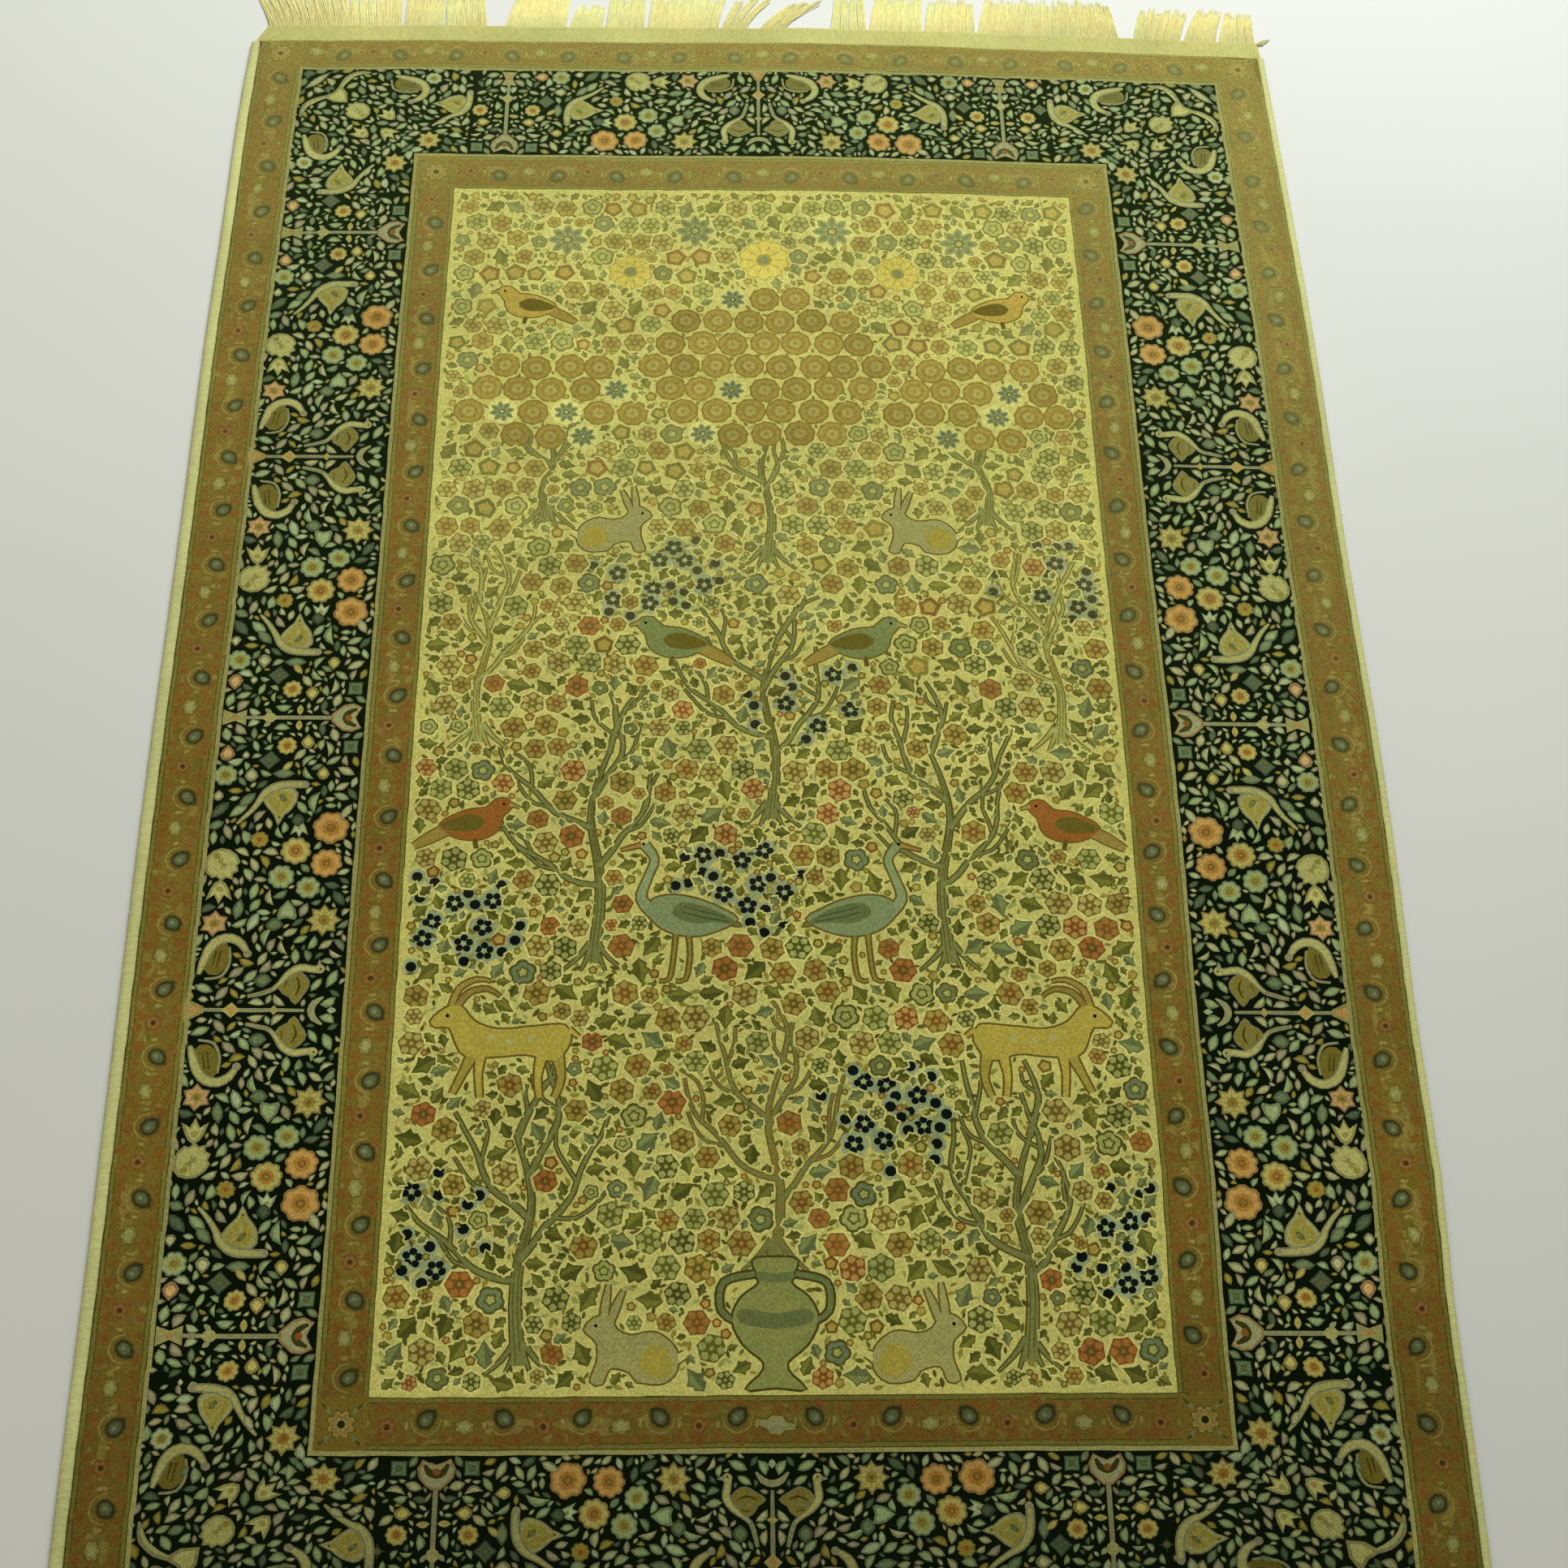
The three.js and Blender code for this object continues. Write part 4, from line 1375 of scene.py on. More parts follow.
BED_PLACES = ((-310, -240), (100, -440), (300, 150), (-120, 160), (30, 20), (-320, -540), (330, -560),
              (-30, -200))
NIGHT_BED = {"reach": (58, 46), "size": 20, "kind": "night", "tries": 16, "gap": 1.6}
BERRY_BED = {"reach": (72, 58), "size": 11, "kind": "berry", "tries": 30, "gap": 1.4}

# What grows between the figures, lower and higher in the field, then ever smaller fillers

CARPET_PITCH = 28
CARPET_SIZES = (27, 23, 19, 15)
LOW_KINDS = ("rose", "red_rose", "ivy", "green_rose", "pansy", "ivy", "rose", "ivy", "rose", "ivy",
             "green_rose")
HIGH_KINDS = ("rose", "green_rose", "bud", "pansy", "rose", "ivy")
FILLERS = (
    (20, ("ivy", "rose", "ivy"), 2500),
    (15, ("ivy", "bud", "ivy"), 4000),
    (11, ("ivy", "bud", "sprig"), 5000),
    (8, ("sprig", "sprig", "bud"), 4000),
)


def draw_field(design):
    """A garden of the rug maker's kind: a vase, flowering trees, birds and small animals."""
    garden = Garden(21)
    garden.figure(vase(), 0, -690, 1.0)
    for side in (-1, 1):
        mirror = side < 0
        garden.figure(hare(), side * 128, -684, 0.86, mirror)
        garden.figure(goat(), side * 246, -418, 0.98, mirror)
        garden.figure(crane(), side * 84, -300, 0.98, mirror)
        garden.figure(partridge("rust"), side * 290, -150, 0.95, not mirror)
        garden.figure(partridge("leaf_blue"), side * 96, 60, 1.0, mirror)
        garden.figure(hare(), side * 160, 190, 0.80, not mirror)
        garden.figure(partridge("brown_light"), side * 262, 500, 0.9, mirror)
    for x, y, height, spread, limbs, lean, dye, edge, stout in SIDE_TREES:
        for side in (-1, 1):
            turned = [(up, reach, side * angle) for up, reach, angle in limbs]
            garden.tree(side * x, y, height, spread, turned, side * lean, dye, edge, stout)
    for tree in MIDDLE_TREES:
        garden.tree(*tree)
    for crown in CROWNS:
        garden.crown(*crown)
    for x, y, size, kind in BIG_FLOWERS:
        garden.flower(x, y, size, kind, 0)
    for place in BED_PLACES:
        garden.bed(*place, **NIGHT_BED)
        garden.bed(*place, **BERRY_BED)
    garden.dress_branches()
    garden.carpet(CARPET_PITCH, CARPET_SIZES, LOW_KINDS, HIGH_KINDS)
    for size, kinds, tries in FILLERS:
        garden.scatter(size, kinds, tries, 0.3)
    design.put(garden.planted())


# The uneven outline, read from the frame


def read_edges():
    """Where the pile's four edges lie in the frame, as pairs of rising places and offsets in metres."""
    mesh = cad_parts["pile"].data
    points = np.array([v.co for v in mesh.vertices])
    low, high = points.min(axis=0), points.max(axis=0)

    def edge(axis, sign, reach):
        other = 1 - axis
        half = (high[other] - low[other]) / 2
        centre = (high[other] + low[other]) / 2
        inner = np.abs(points[:, other] - centre) < half - 0.004
        near = points[:, axis] * sign > (high[axis] if sign > 0 else -low[axis]) - reach
        chosen = points[near & inner]
        stations = np.unique(np.round(chosen[:, other], 3))
        value = [max(sign * p[axis] for p in chosen if abs(p[other] - s) < 0.0011) * sign for s in stations]
        return stations, np.array(value)

    return {
        "left": edge(0, -1, 0.03),
        "right": edge(0, 1, 0.03),
        "far": edge(1, 1, 0.03),
        "near": edge(1, -1, 0.03),
    }


EDGES = read_edges()
MEAN = {name: float(np.mean(value)) for name, (_, value) in EDGES.items()}


def to_frame(points):
    """Plan millimetres to frame metres, bent to the uneven outline."""
    p = np.asarray(points, float)
    x = (p[:, 0] + PLAN_SHIFT[0]) * MM
    y = (p[:, 1] + PLAN_SHIFT[1]) * MM
    across = np.clip((x - MEAN["left"]) / (MEAN["right"] - MEAN["left"]), 0, 1)
    up = np.clip((y - MEAN["near"]) / (MEAN["far"] - MEAN["near"]), 0, 1)
    bow = {}
    for name, edge in EDGES.items():
        bow[name] = np.interp(y if name in ("left", "right") else x, *edge) - MEAN[name]
    x = x + bow["left"] * (1 - across) ** 2 + bow["right"] * across**2
    y = y + bow["near"] * (1 - up) ** 2 + bow["far"] * up**2
    return x, y


def plan_rectangle():
    """The pile's mean outline in plan millimetres."""
    return {
        "left": MEAN["left"] / MM - PLAN_SHIFT[0],
        "right": MEAN["right"] / MM - PLAN_SHIFT[0],
        "far": MEAN["far"] / MM - PLAN_SHIFT[1],
        "near": MEAN["near"] / MM - PLAN_SHIFT[1],
    }


PILE = plan_rectangle()


def surface_height(x, y, edge_distance):
    """Height of the pile's surface in metres: soft unevenness, rounded down at the rim."""
    wave = 0.10 * np.sin(x * 23 + 1.3) * np.sin(y * 17 + 0.4) + 0.08 * np.sin(x * 41 - y * 29)
    rim = np.clip(1 - edge_distance / 2.4, 0, 1) ** 2
    return (PILE_TOP - 0.1 + wave - 1.7 * rim) * MM


# Panels of the pile


GRID_STEP = 24  # between the points that let a panel bend
EDGE_STEP = 12
NOT_DYED = (0.2, 0.2, 0.1)


def inner_grid(box):
    """Evenly spread points inside a panel."""
    x0, y0, x1, y1 = box
    xs = np.arange(x0 + GRID_STEP / 2, x1 - GRID_STEP / 4, GRID_STEP)
    ys = np.arange(y0 + GRID_STEP / 2, y1 - GRID_STEP / 4, GRID_STEP)
    return np.array([(x, y) for x in xs for y in ys])


def topmost(owners, boxes, place):
    """The last of a face's owners whose box holds the face's middle."""
    for top in sorted(owners, reverse=True):
        low_x, low_y, high_x, high_y = boxes[top]
        if low_x < place[0] < high_x and low_y < place[1] < high_y:
            break
    return top


def cut_shapes(outlines, colours, grid):
    """The outlines cut against each other: points, and the first one's triangles in their topmost colour."""
    verts = [Vector(p) for outline in outlines for p in outline.tolist()] + [Vector(p) for p in grid.tolist()]
    faces = []
    start = 0
    for outline in outlines:
        faces.append(list(range(start, start + len(outline))))
        start += len(outline)
    points, _, tris, _, _, owners = delaunay_2d_cdt(verts, [], faces, 1, 0.01, True)
    flat = np.array([tuple(p) for p in points])
    boxes = [(*(outline.min(axis=0) - 0.3), *(outline.max(axis=0) + 0.3)) for outline in outlines]
    coloured = [(tri, colours[topmost(owner, boxes, flat[list(tri)].mean(axis=0))])
                for tri, owner in zip(tris, owners) if 0 in owner]
    return flat, coloured


def joined_faces(flat, coloured, grid):
    """The same coloured area in fewer faces: its points stay where two colours meet and on the grid."""
    side = {}
    for tri, colour in coloured:
        for k in range(3):
            side[tri[k - 1], tri[k]] = colour
    fixed = {(a, b) for (a, b), colour in side.items() if side.get((b, a)) != colour}
    used = sorted({i for edge in fixed for i in edge})
    index = {old: new for new, old in enumerate(used)}
    edges = sorted((index[a], index[b]) for a, b in fixed if a < b or (b, a) not in fixed)
    verts = [Vector(p) for p in flat[used].tolist()] + [Vector(p) for p in grid.tolist()]
    points, _, tris, sources, _, _ = delaunay_2d_cdt(verts, edges, [], 0, 0.0001, True)
    names = [min(source, default=len(used)) for source in sources]
    names = [used[i] if i < len(used) else -1 - n for n, i in enumerate(names)]
    face_at = {(names[tri[k - 1]], names[tri[k]]): n for n, tri in enumerate(tris) for k in range(3)}
    colours = [None] * len(tris)
    for edge, n in face_at.items():
        colours[n] = side.get(edge, colours[n])
    queue = [n for n, colour in enumerate(colours) if colour]
    while queue:
        n = queue.pop()
        for k in range(3):
            a, b = names[tris[n][k - 1]], names[tris[n][k]]
            other = face_at.get((b, a))
            if (a, b) not in fixed and other is not None and colours[other] is None:
                colours[other] = colours[n]
                queue.append(other)
    joined = [(tri, colour) for tri, colour in zip(tris, colours) if colour]
    return np.array([tuple(p) for p in points]), joined


def panel_mesh(name, box, shapes, material):
    """One panel: the shapes cut against each other inside box, each face in its topmost dye."""
    x0, y0, x1, y1 = box
    outlines = [bar(x0, y0, x1, y1, EDGE_STEP)]
    colours = [NOT_DYED]
    for colour, outline in shapes:
        low, high = outline.min(axis=0), outline.max(axis=0)
        if high[0] <= x0 or low[0] >= x1 or high[1] <= y0 or low[1] >= y1:
            continue
        outlines.append(outline if area_of(outline) > 0 else outline[::-1])
        colours.append(colour)
    grid = inner_grid(box)
    flat, coloured = joined_faces(*cut_shapes(outlines, colours, grid), grid)
    rim = np.minimum.reduce([flat[:, 0] - PILE["left"], PILE["right"] - flat[:, 0],
                             flat[:, 1] - PILE["near"], PILE["far"] - flat[:, 1]])
    x, y = to_frame(flat)
    points = np.column_stack([x, y, surface_height(x, y, rim)])
    mesh = bpy.data.meshes.new(name)
    mesh.from_pydata(points.tolist(), [], [tri for tri, _ in coloured])
    dye = mesh.color_attributes.new("dye", "FLOAT_COLOR", "CORNER")
    corner_colours = np.ones((len(coloured) * 3, 4), np.float32)
    corner_colours[:, :3] = np.repeat(np.array([colour for _, colour in coloured]), 3, axis=0)
    dye.data.foreach_set("color", corner_colours.ravel())
    return linked_object(name, mesh, material)


def panel_boxes():
    """The panels of the pile, by name: the two ends, the two sides and the field."""
    boxes = {}
    xs = np.linspace(PILE["left"], PILE["right"], 4)
    ys = np.linspace(FIELD["near"], FIELD["far"], 4)
    ends = {"near": (PILE["near"], FIELD["near"]), "far": (FIELD["far"], PILE["far"])}
    for end, (low, high) in ends.items():
        for i in range(3):
            boxes[f"pile_{end}_{i + 1}"] = (xs[i], low, xs[i + 1], high)
    sides = {"left": (PILE["left"], FIELD["left"]), "right": (FIELD["right"], PILE["right"])}
    for side, (low, high) in sides.items():
        for j in range(3):
            boxes[f"pile_{side}_{j + 1}"] = (low, ys[j], high, ys[j + 1])
    middle = (FIELD["left"] + FIELD["right"]) / 2
    for j in range(3):
        boxes[f"pile_field_left_{j + 1}"] = (FIELD["left"], ys[j], middle, ys[j + 1])
        boxes[f"pile_field_right_{j + 1}"] = (middle, ys[j], FIELD["right"], ys[j + 1])
    return boxes


def draw_pattern():
    """The whole pattern in painter's order."""
    design = Design()
    design.add(tone("guard_line", 0.9), bar(PILE["left"], PILE["near"], PILE["right"], PILE["far"]))
    draw_guards(design, PILE, OUTER_LINE, 3)
    line = LINE_WIDTH
    left, right, far, near = (OUTER_LINE[name] for name in ("left", "right", "far", "near"))
    border_ground(design, left, near, right, far)
    design.put(draw_border())
    for edge in ((left, near, left + line, far), (right - line, near, right, far),
                 (left, far - line, right, far), (left, near, right, near + line)):
        design.add(tone("edge_line"), bar(*edge))
    left, right, far, near = (INNER_LINE[name] for name in ("left", "right", "far", "near"))
    design.add(tone("edge_line"), bar(left - 1, near - 1, right + 1, far + 1))
    inner = {"left": left + line - 1, "right": right - line + 1,
             "far": far - line + 1, "near": near + line - 1}
    draw_field(design)
    draw_guards(design, inner, FIELD, 4, wide_flower=True)
    return design


# Materials


class Nodes:
    """A short way to build a material's node tree."""

    def __init__(self, name):
        self.material = bpy.data.materials.new(name)
        self.material.use_nodes = True
        self.tree = self.material.node_tree
        self.shader = self.tree.nodes["Principled BSDF"]

    def add(self, kind, links=None, **settings):
        node = self.tree.nodes.new(kind)
        for key, value in settings.items():
            setattr(node, key, value)
        for socket, value in (links or {}).items():
            self.link(node.inputs[socket], value)
        return node

    def place(self):
        return self.add("ShaderNodeTexCoord").outputs["Object"]

    def link(self, socket, value):
        if isinstance(value, bpy.types.NodeSocket):
            self.tree.links.new(value, socket)
        else:
            socket.default_value = value

    def vector(self, operation, a, b=None):
        node = self.add("ShaderNodeVectorMath", operation=operation)
        self.link(node.inputs[0], a)
        if b is not None:
            self.link(node.inputs[1], b)
        return node.outputs[0]

    def math(self, operation, a, b=None, clamp=False):
        node = self.add("ShaderNodeMath", operation=operation, use_clamp=clamp)
        self.link(node.inputs[0], a)
        if b is not None:
            self.link(node.inputs[1], b)
        return node.outputs[0]

    def noise(self, vector, scale, detail=3.0):
        node = self.add("ShaderNodeTexNoise", {"Vector": vector, "Scale": scale, "Detail": detail})
        return node.outputs["Fac"]

    def range(self, value, low, high, to_low, to_high):
        node = self.add("ShaderNodeMapRange")
        for socket, number in zip(node.inputs[:5], (value, low, high, to_low, to_high)):
            self.link(socket, number)
        return node.outputs[0]

    def scaled(self, colour, factor):
        """A colour times a number."""
        node = self.add("ShaderNodeVectorMath", operation="SCALE")
        self.link(node.inputs[0], colour)
        self.link(node.inputs["Scale"], factor)
        return node.outputs[0]

    def mix(self, factor, first, second):
        """A colour between two others."""
        node = self.add("ShaderNodeMix", {"Factor": factor}, data_type="RGBA")
        self.link(node.inputs[6], (*first, 1.0))
        self.link(node.inputs[7], (*second, 1.0))
        return node.outputs[2]

    def knots(self, place, rise=0.0):
        """The grid of knots: cells of the size of one knot, and a random number for each."""
        cells = self.vector("MULTIPLY", place, (1 / (KNOT[0] * MM), 1 / (KNOT[1] * MM), rise))
        knot = self.add("ShaderNodeTexWhiteNoise", {"Vector": self.vector("FLOOR", cells)}).outputs["Value"]
        return cells, knot

    def finish(self, colour, roughness, height, strength, distance, sheen=0.0, specular=0.06):
        shader = self.shader
        self.link(shader.inputs["Base Color"], colour)
        self.link(shader.inputs["Roughness"], roughness)
        shader.inputs["Specular IOR Level"].default_value = specular
        shader.inputs["Sheen Weight"].default_value = sheen
        shader.inputs["Sheen Roughness"].default_value = 0.45
        shader.inputs["Sheen Tint"].default_value = (1.0, 0.97, 0.82, 1.0)
        bump = self.add("ShaderNodeBump", {"Strength": strength, "Distance": distance, "Height": height})
        self.link(shader.inputs["Normal"], bump.outputs[0])
        return self.material


def wool_pile():
    """Cut wool knots in their dyes, with the uneven bands of separate dye lots."""
    nodes = Nodes("wool_pile")
    place = nodes.place()
    dye = nodes.add("ShaderNodeAttribute", attribute_name="dye").outputs["Color"]
    cells, knot = nodes.knots(place)
    lots = nodes.noise(nodes.vector("MULTIPLY", place, (0.6, 17.0, 0.0)), 1.0, 4.0)
    wear = nodes.noise(place, 7.0, 3.0)
    by_knot = nodes.range(knot, 0, 1, 0.80, 1.20)
    by_lot = nodes.range(lots, 0.3, 0.7, 0.93, 1.07)
    by_wear = nodes.range(wear, 0.3, 0.7, 0.94, 1.06)
    shade = nodes.math("MULTIPLY", nodes.math("MULTIPLY", by_knot, by_lot), by_wear)
    within = nodes.add("ShaderNodeSeparateXYZ", {"Vector": nodes.vector("FRACTION", cells)})
    domes = []
    for axis in ("X", "Y"):
        centred = nodes.math("SUBTRACT", within.outputs[axis], 0.5)
        domes.append(nodes.math("MULTIPLY", centred, centred))
    dome = nodes.math("SUBTRACT", 0.5, nodes.math("ADD", *domes))
    tuft = nodes.noise(place, 900.0, 2.0)
    height = nodes.math("ADD", dome, nodes.math("MULTIPLY", tuft, 0.5))
    height = nodes.math("ADD", height, nodes.math("MULTIPLY", knot, 0.35))
    roughness = nodes.range(knot, 0, 1, 0.86, 0.98)
    return nodes.finish(nodes.scaled(dye, shade), roughness, height, 0.5, 0.0006, specular=0.03)


def knotted_back():
    """The rug's side and back: cream foundation with rows of knots."""
    nodes = Nodes("knotted_back")
    place = nodes.place()
    _, knot = nodes.knots(place, 500.0)
    wave = nodes.add("ShaderNodeTexWave", {"Vector": place, "Scale": 92.0, "Distortion": 0.6},
                     bands_direction="Y")
    rows = wave.outputs["Fac"]
    stains = nodes.range(nodes.noise(place, 16.0, 5.0), 0.42, 0.6, 0.0, 1.0)
    base = nodes.mix(stains, tone("olive", 1.15), tone("gold", 0.78))
    shade = nodes.math("MULTIPLY", nodes.range(knot, 0, 1, 0.75, 1.2), nodes.range(rows, 0, 1, 0.85, 1.1))
    return nodes.finish(nodes.scaled(base, shade), 0.92, nodes.math("ADD", rows, knot), 0.5, 0.0005, 0.15)


def tinted(shown, tint):
    """A linear colour from one shown as red, green and blue up to 255, each first times its tint."""
    return [((part_tint * part / 255 + 0.055) / 1.055) ** 2.4 for part, part_tint in zip(shown, tint)]


def cotton(name, shown, ribs, warmth, root_shade=1.0):
    """Undyed or side-cord yarn: ribs is the size of its weave as a vector of scales.

    warmth is how far its stains turn to a warmer cream, and root_shade how light the yarn is where it
    leaves the woven band."""
    nodes = Nodes(name)
    place = nodes.place()
    plain = tinted(shown, (1 - 0.01 * warmth, 1, 1))
    warm = tinted(shown, (1 + 0.03 * warmth, 1 - 0.04 * warmth, 1 - 0.08 * warmth))
    base = nodes.mix(nodes.range(nodes.noise(place, 13.0, 2.0), 0.42, 0.6, 0.0, 1.0), plain, warm)
    stains = nodes.noise(place, 9.0, 4.0)
    fibres = nodes.noise(nodes.vector("MULTIPLY", place, ribs), 1.0, 3.0)
    fine = nodes.noise(place, 1400.0, 2.0)
    along_rug = nodes.math("ABSOLUTE", nodes.add("ShaderNodeSeparateXYZ", {"Vector": place}).outputs["Y"])
    shade = nodes.range(stains, 0.3, 0.7, 0.88, 1.07)
    for factor in (nodes.range(fibres, 0.3, 0.7, 0.84, 1.12), nodes.range(fine, 0.3, 0.7, 0.92, 1.06),
                   nodes.range(along_rug, 0.942, 0.972, root_shade, 1.0)):
        shade = nodes.math("MULTIPLY", shade, factor)
    height = nodes.math("ADD", fibres, nodes.math("MULTIPLY", fine, 0.5))
    roughness = nodes.range(fibres, 0, 1, 0.8, 0.95)
    return nodes.finish(nodes.scaled(base, shade), roughness, height, 0.45, 0.0005, 0.2)


# The pieces


def linked_object(name, mesh, material):
    mesh.validate()
    obj = bpy.data.objects.new(name, mesh)
    bpy.context.scene.collection.objects.link(obj)
    obj.data.materials.append(material)
    return obj


def new_object(name, vertices, faces, material):
    mesh = bpy.data.meshes.new(name)
    mesh.from_pydata([tuple(v) for v in vertices], [], faces)
    return linked_object(name, mesh, material)


def turn_outwards(obj):
    """Makes every face look out of its piece."""
    bm = bmesh.new()
    bm.from_mesh(obj.data)
    bmesh.ops.recalc_face_normals(bm, faces=bm.faces)
    bm.to_mesh(obj.data)
    bm.free()


def shade_smooth(obj, angle=None):
    obj.data.polygons.foreach_set("use_smooth", [True] * len(obj.data.polygons))
    if angle is not None:
        obj.data.set_sharp_from_angle(angle=math.radians(angle))


BODY_PROFILE = ((1.2, 0.0), (0.0, 1.4), (0.0, 4.6), (1.4, 5.9))  # inset and height, from the floor up


def make_pile_body(material):
    """The slab under the knots: its sides, its rounded clipped edge and its back."""
    plan = bar(PILE["left"], PILE["near"], PILE["right"], PILE["far"], 30)
    centre = np.array([(PILE["left"] + PILE["right"]) / 2, (PILE["near"] + PILE["far"]) / 2])
    half = np.array([(PILE["right"] - PILE["left"]) / 2, (PILE["far"] - PILE["near"]) / 2])
    vertices = []
    for inset, height in BODY_PROFILE:
        x, y = to_frame(centre + (plan - centre) * (1 - inset / half))
        vertices += list(zip(x, y, np.full(len(x), height * MM)))
    n = len(plan)
    faces = [list(range(n))[::-1], list(range(3 * n, 4 * n))]
    for r in range(3):
        for i in range(n):
            j = (i + 1) % n
            faces.append([r * n + i, r * n + j, (r + 1) * n + j, (r + 1) * n + i])
    return new_object("pile_body", vertices, faces, material)


CORD_LAP = 1.6 * MM  # how far a side cord reaches over the pile's edge
WRAP_PITCH = 2.6 * MM
WRAP_SIDES = 8
WRAP_LEAN = 1.1 * MM


def cord_rows(node):
    """A cord in the frame at each of its stations: place along the rug, left, right and top."""
    points = np.array([v.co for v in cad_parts[node].data.vertices])
    rows = []
    for s in np.unique(np.round(points[:, 1], 4)):
        there = points[np.abs(points[:, 1] - s) < 0.0004]
        if len(there) >= 4:
            rows.append((s, there[:, 0].min(), there[:, 0].max(), there[:, 2].max()))
    return np.array(rows)


def make_selvedge(node, material):
    """A side cord: yarn overcast round a core, its wraps shown as soft ridges."""
    rows = cord_rows(node)
    y_start, y_end = rows[0, 0], rows[-1, 0]
    count = int((y_end - y_start) / (WRAP_PITCH / 2))
    sides = WRAP_SIDES
    rng = random.Random(11)
    thick = [rng.uniform(0.93, 1.0) for _ in range(count // 2 + 2)]
    vertices = []
    faces = []
    for k in range(count + 1):
        y = y_start + (y_end - y_start) * k / count
        left, right, top = (np.interp(y, rows[:, 0], rows[:, column]) for column in (1, 2, 3))
        if node == "selvedge_left":
            right += CORD_LAP
        else:
            left -= CORD_LAP
        ridge = (1.0, 0.91)[k % 2] * thick[k // 2]
        for i in range(sides):
            angle = math.pi * 2 * i / sides - math.pi / 2
            cx, cz = math.cos(angle), math.sin(angle)
            x = (left + right) / 2 + (right - left) / 2 * ridge * math.copysign(abs(cx) ** 0.8, cx)
            z = max(0.0, top / 2 * (1 + ridge * math.copysign(abs(cz) ** 0.8, cz)))
            vertices.append((x, min(max(y + WRAP_LEAN * cx, y_start), y_end), z))
        if k:
            a = (k - 1) * sides
            b = k * sides
            for i in range(sides):
                j = (i + 1) % sides
                faces.append([a + i, b + i, b + j, a + j])
    faces.append(list(range(sides)))
    faces.append(list(range(count * sides, (count + 1) * sides))[::-1])
    obj = new_object(f"{node}_wraps", vertices, faces, material)
    turn_outwards(obj)
    shade_smooth(obj)
    return obj


# Bunches of the fringes: where their roots start and stop, how far the first and last tips lean to
# the right, and how long the longest yarns are

FAR_BUNCHES = (
    (-584, -430, -26, -1, 62), (-425, -380, 1, 2, 65), (-376, -328, -2, -5, 61), (-306, -234, 15, 7, 62),
    (-229, -191, 10, 6, 41), (-186, -141, 5, 3, 58), (-136, -53, 6, 12, 61), (-48, -20, 22, 36, 56),
    (-2, 26, 44, 50, 50), (84, 126, 6, -2, 60), (130, 193, 9, 2, 63), (197, 256, 7, 2, 60),
    (261, 430, 12, -7, 64), (449, 504, 12, 18, 56), (510, 547, 22, 16, 58), (553, 595, 12, 1, 54),
    (596, 599, 25, 25, 14),
)
NEAR_BUNCHES = (
    (-592, -402, -12, 4, 58), (-396, -176, -3, 5, 62), (-170, 16, 0, -4, 59), (22, 262, 5, -3, 61),
    (268, 440, 3, -2, 57), (446, 601, 0, 12, 60),
)
# The left and right ends of each band, at the pile and then at the fringe

BAND_SIDES = {"far": (-599.5, -585.5, 600.5, 597.5), "near": (-607, -593, 607, 604)}
BAND_DEPTH = 28
BAND_THICKNESS = 2.6
BAND_COLUMNS = 161
BAND_ROWS = 23
BAND_GAP = 0.4  # from the pile
LOCK_PITCH = 9.4
LOCK_ROOT_WIDTH = 9.2
LEAN_POWER = 1.25  # how late along its length a lock bends aside
ENDS = {1: "far", -1: "near"}


def end_line(end, x_mm):
    """The pile's end in frame metres at a place across the rug in plan millimetres."""
    x = (np.asarray(x_mm, float) + PLAN_SHIFT[0]) * MM
    return x, np.interp(x, *EDGES[ENDS[end]])


def make_band(node, end, material):
    """The flat woven band: weft ribs across warps, its outer edge a little wavy."""
    left_inner, left_outer, right_inner, right_outer = BAND_SIDES[ENDS[end]]
    columns, rows = BAND_COLUMNS, BAND_ROWS
    vertices = []
    faces = []
    for layer in (1, 0):
        for j in range(rows):
            v = j / (rows - 1)
            from_mm = left_inner + (left_outer - left_inner) * v
            to_mm = right_inner + (right_outer - right_inner) * v
            for i, x_mm in enumerate(np.linspace(from_mm, to_mm, columns)):
                x, y = end_line(end, x_mm)
                out = (BAND_GAP + v * (BAND_DEPTH - BAND_GAP)) * MM
                ripple = 0.08 * math.sin(i * 1.7 + j * 3.14) + 0.12 * (1 if j % 2 else -1)
                edge = 0.5 * math.sin(x_mm / 31) * v
                thick = BAND_THICKNESS - 0.35 + ripple - (0.5 if j in (0, rows - 1) else 0)
                vertices.append((float(x), float(y) + end * (out + edge * MM), thick * MM if layer else 0.0))
    size = rows * columns
    for j in range(rows - 1):
        for i in range(columns - 1):
            a = j * columns + i
            quad = [a, a + 1, a + columns + 1, a + columns]
            faces.append(quad)
            faces.append([size + k for k in quad[::-1]])
    rim = ([(0, i) for i in range(columns)] + [(j, columns - 1) for j in range(1, rows)]
           + [(rows - 1, i) for i in range(columns - 2, -1, -1)] + [(j, 0) for j in range(rows - 2, 0, -1)])
    ids = [j * columns + i for j, i in rim]
    for a, b in zip(ids, ids[1:] + ids[:1]):
        faces.append([b, a, size + a, size + b])
    obj = new_object(f"{node}_band", vertices, faces, material)
    turn_outwards(obj)
    shade_smooth(obj, 50)
    return obj


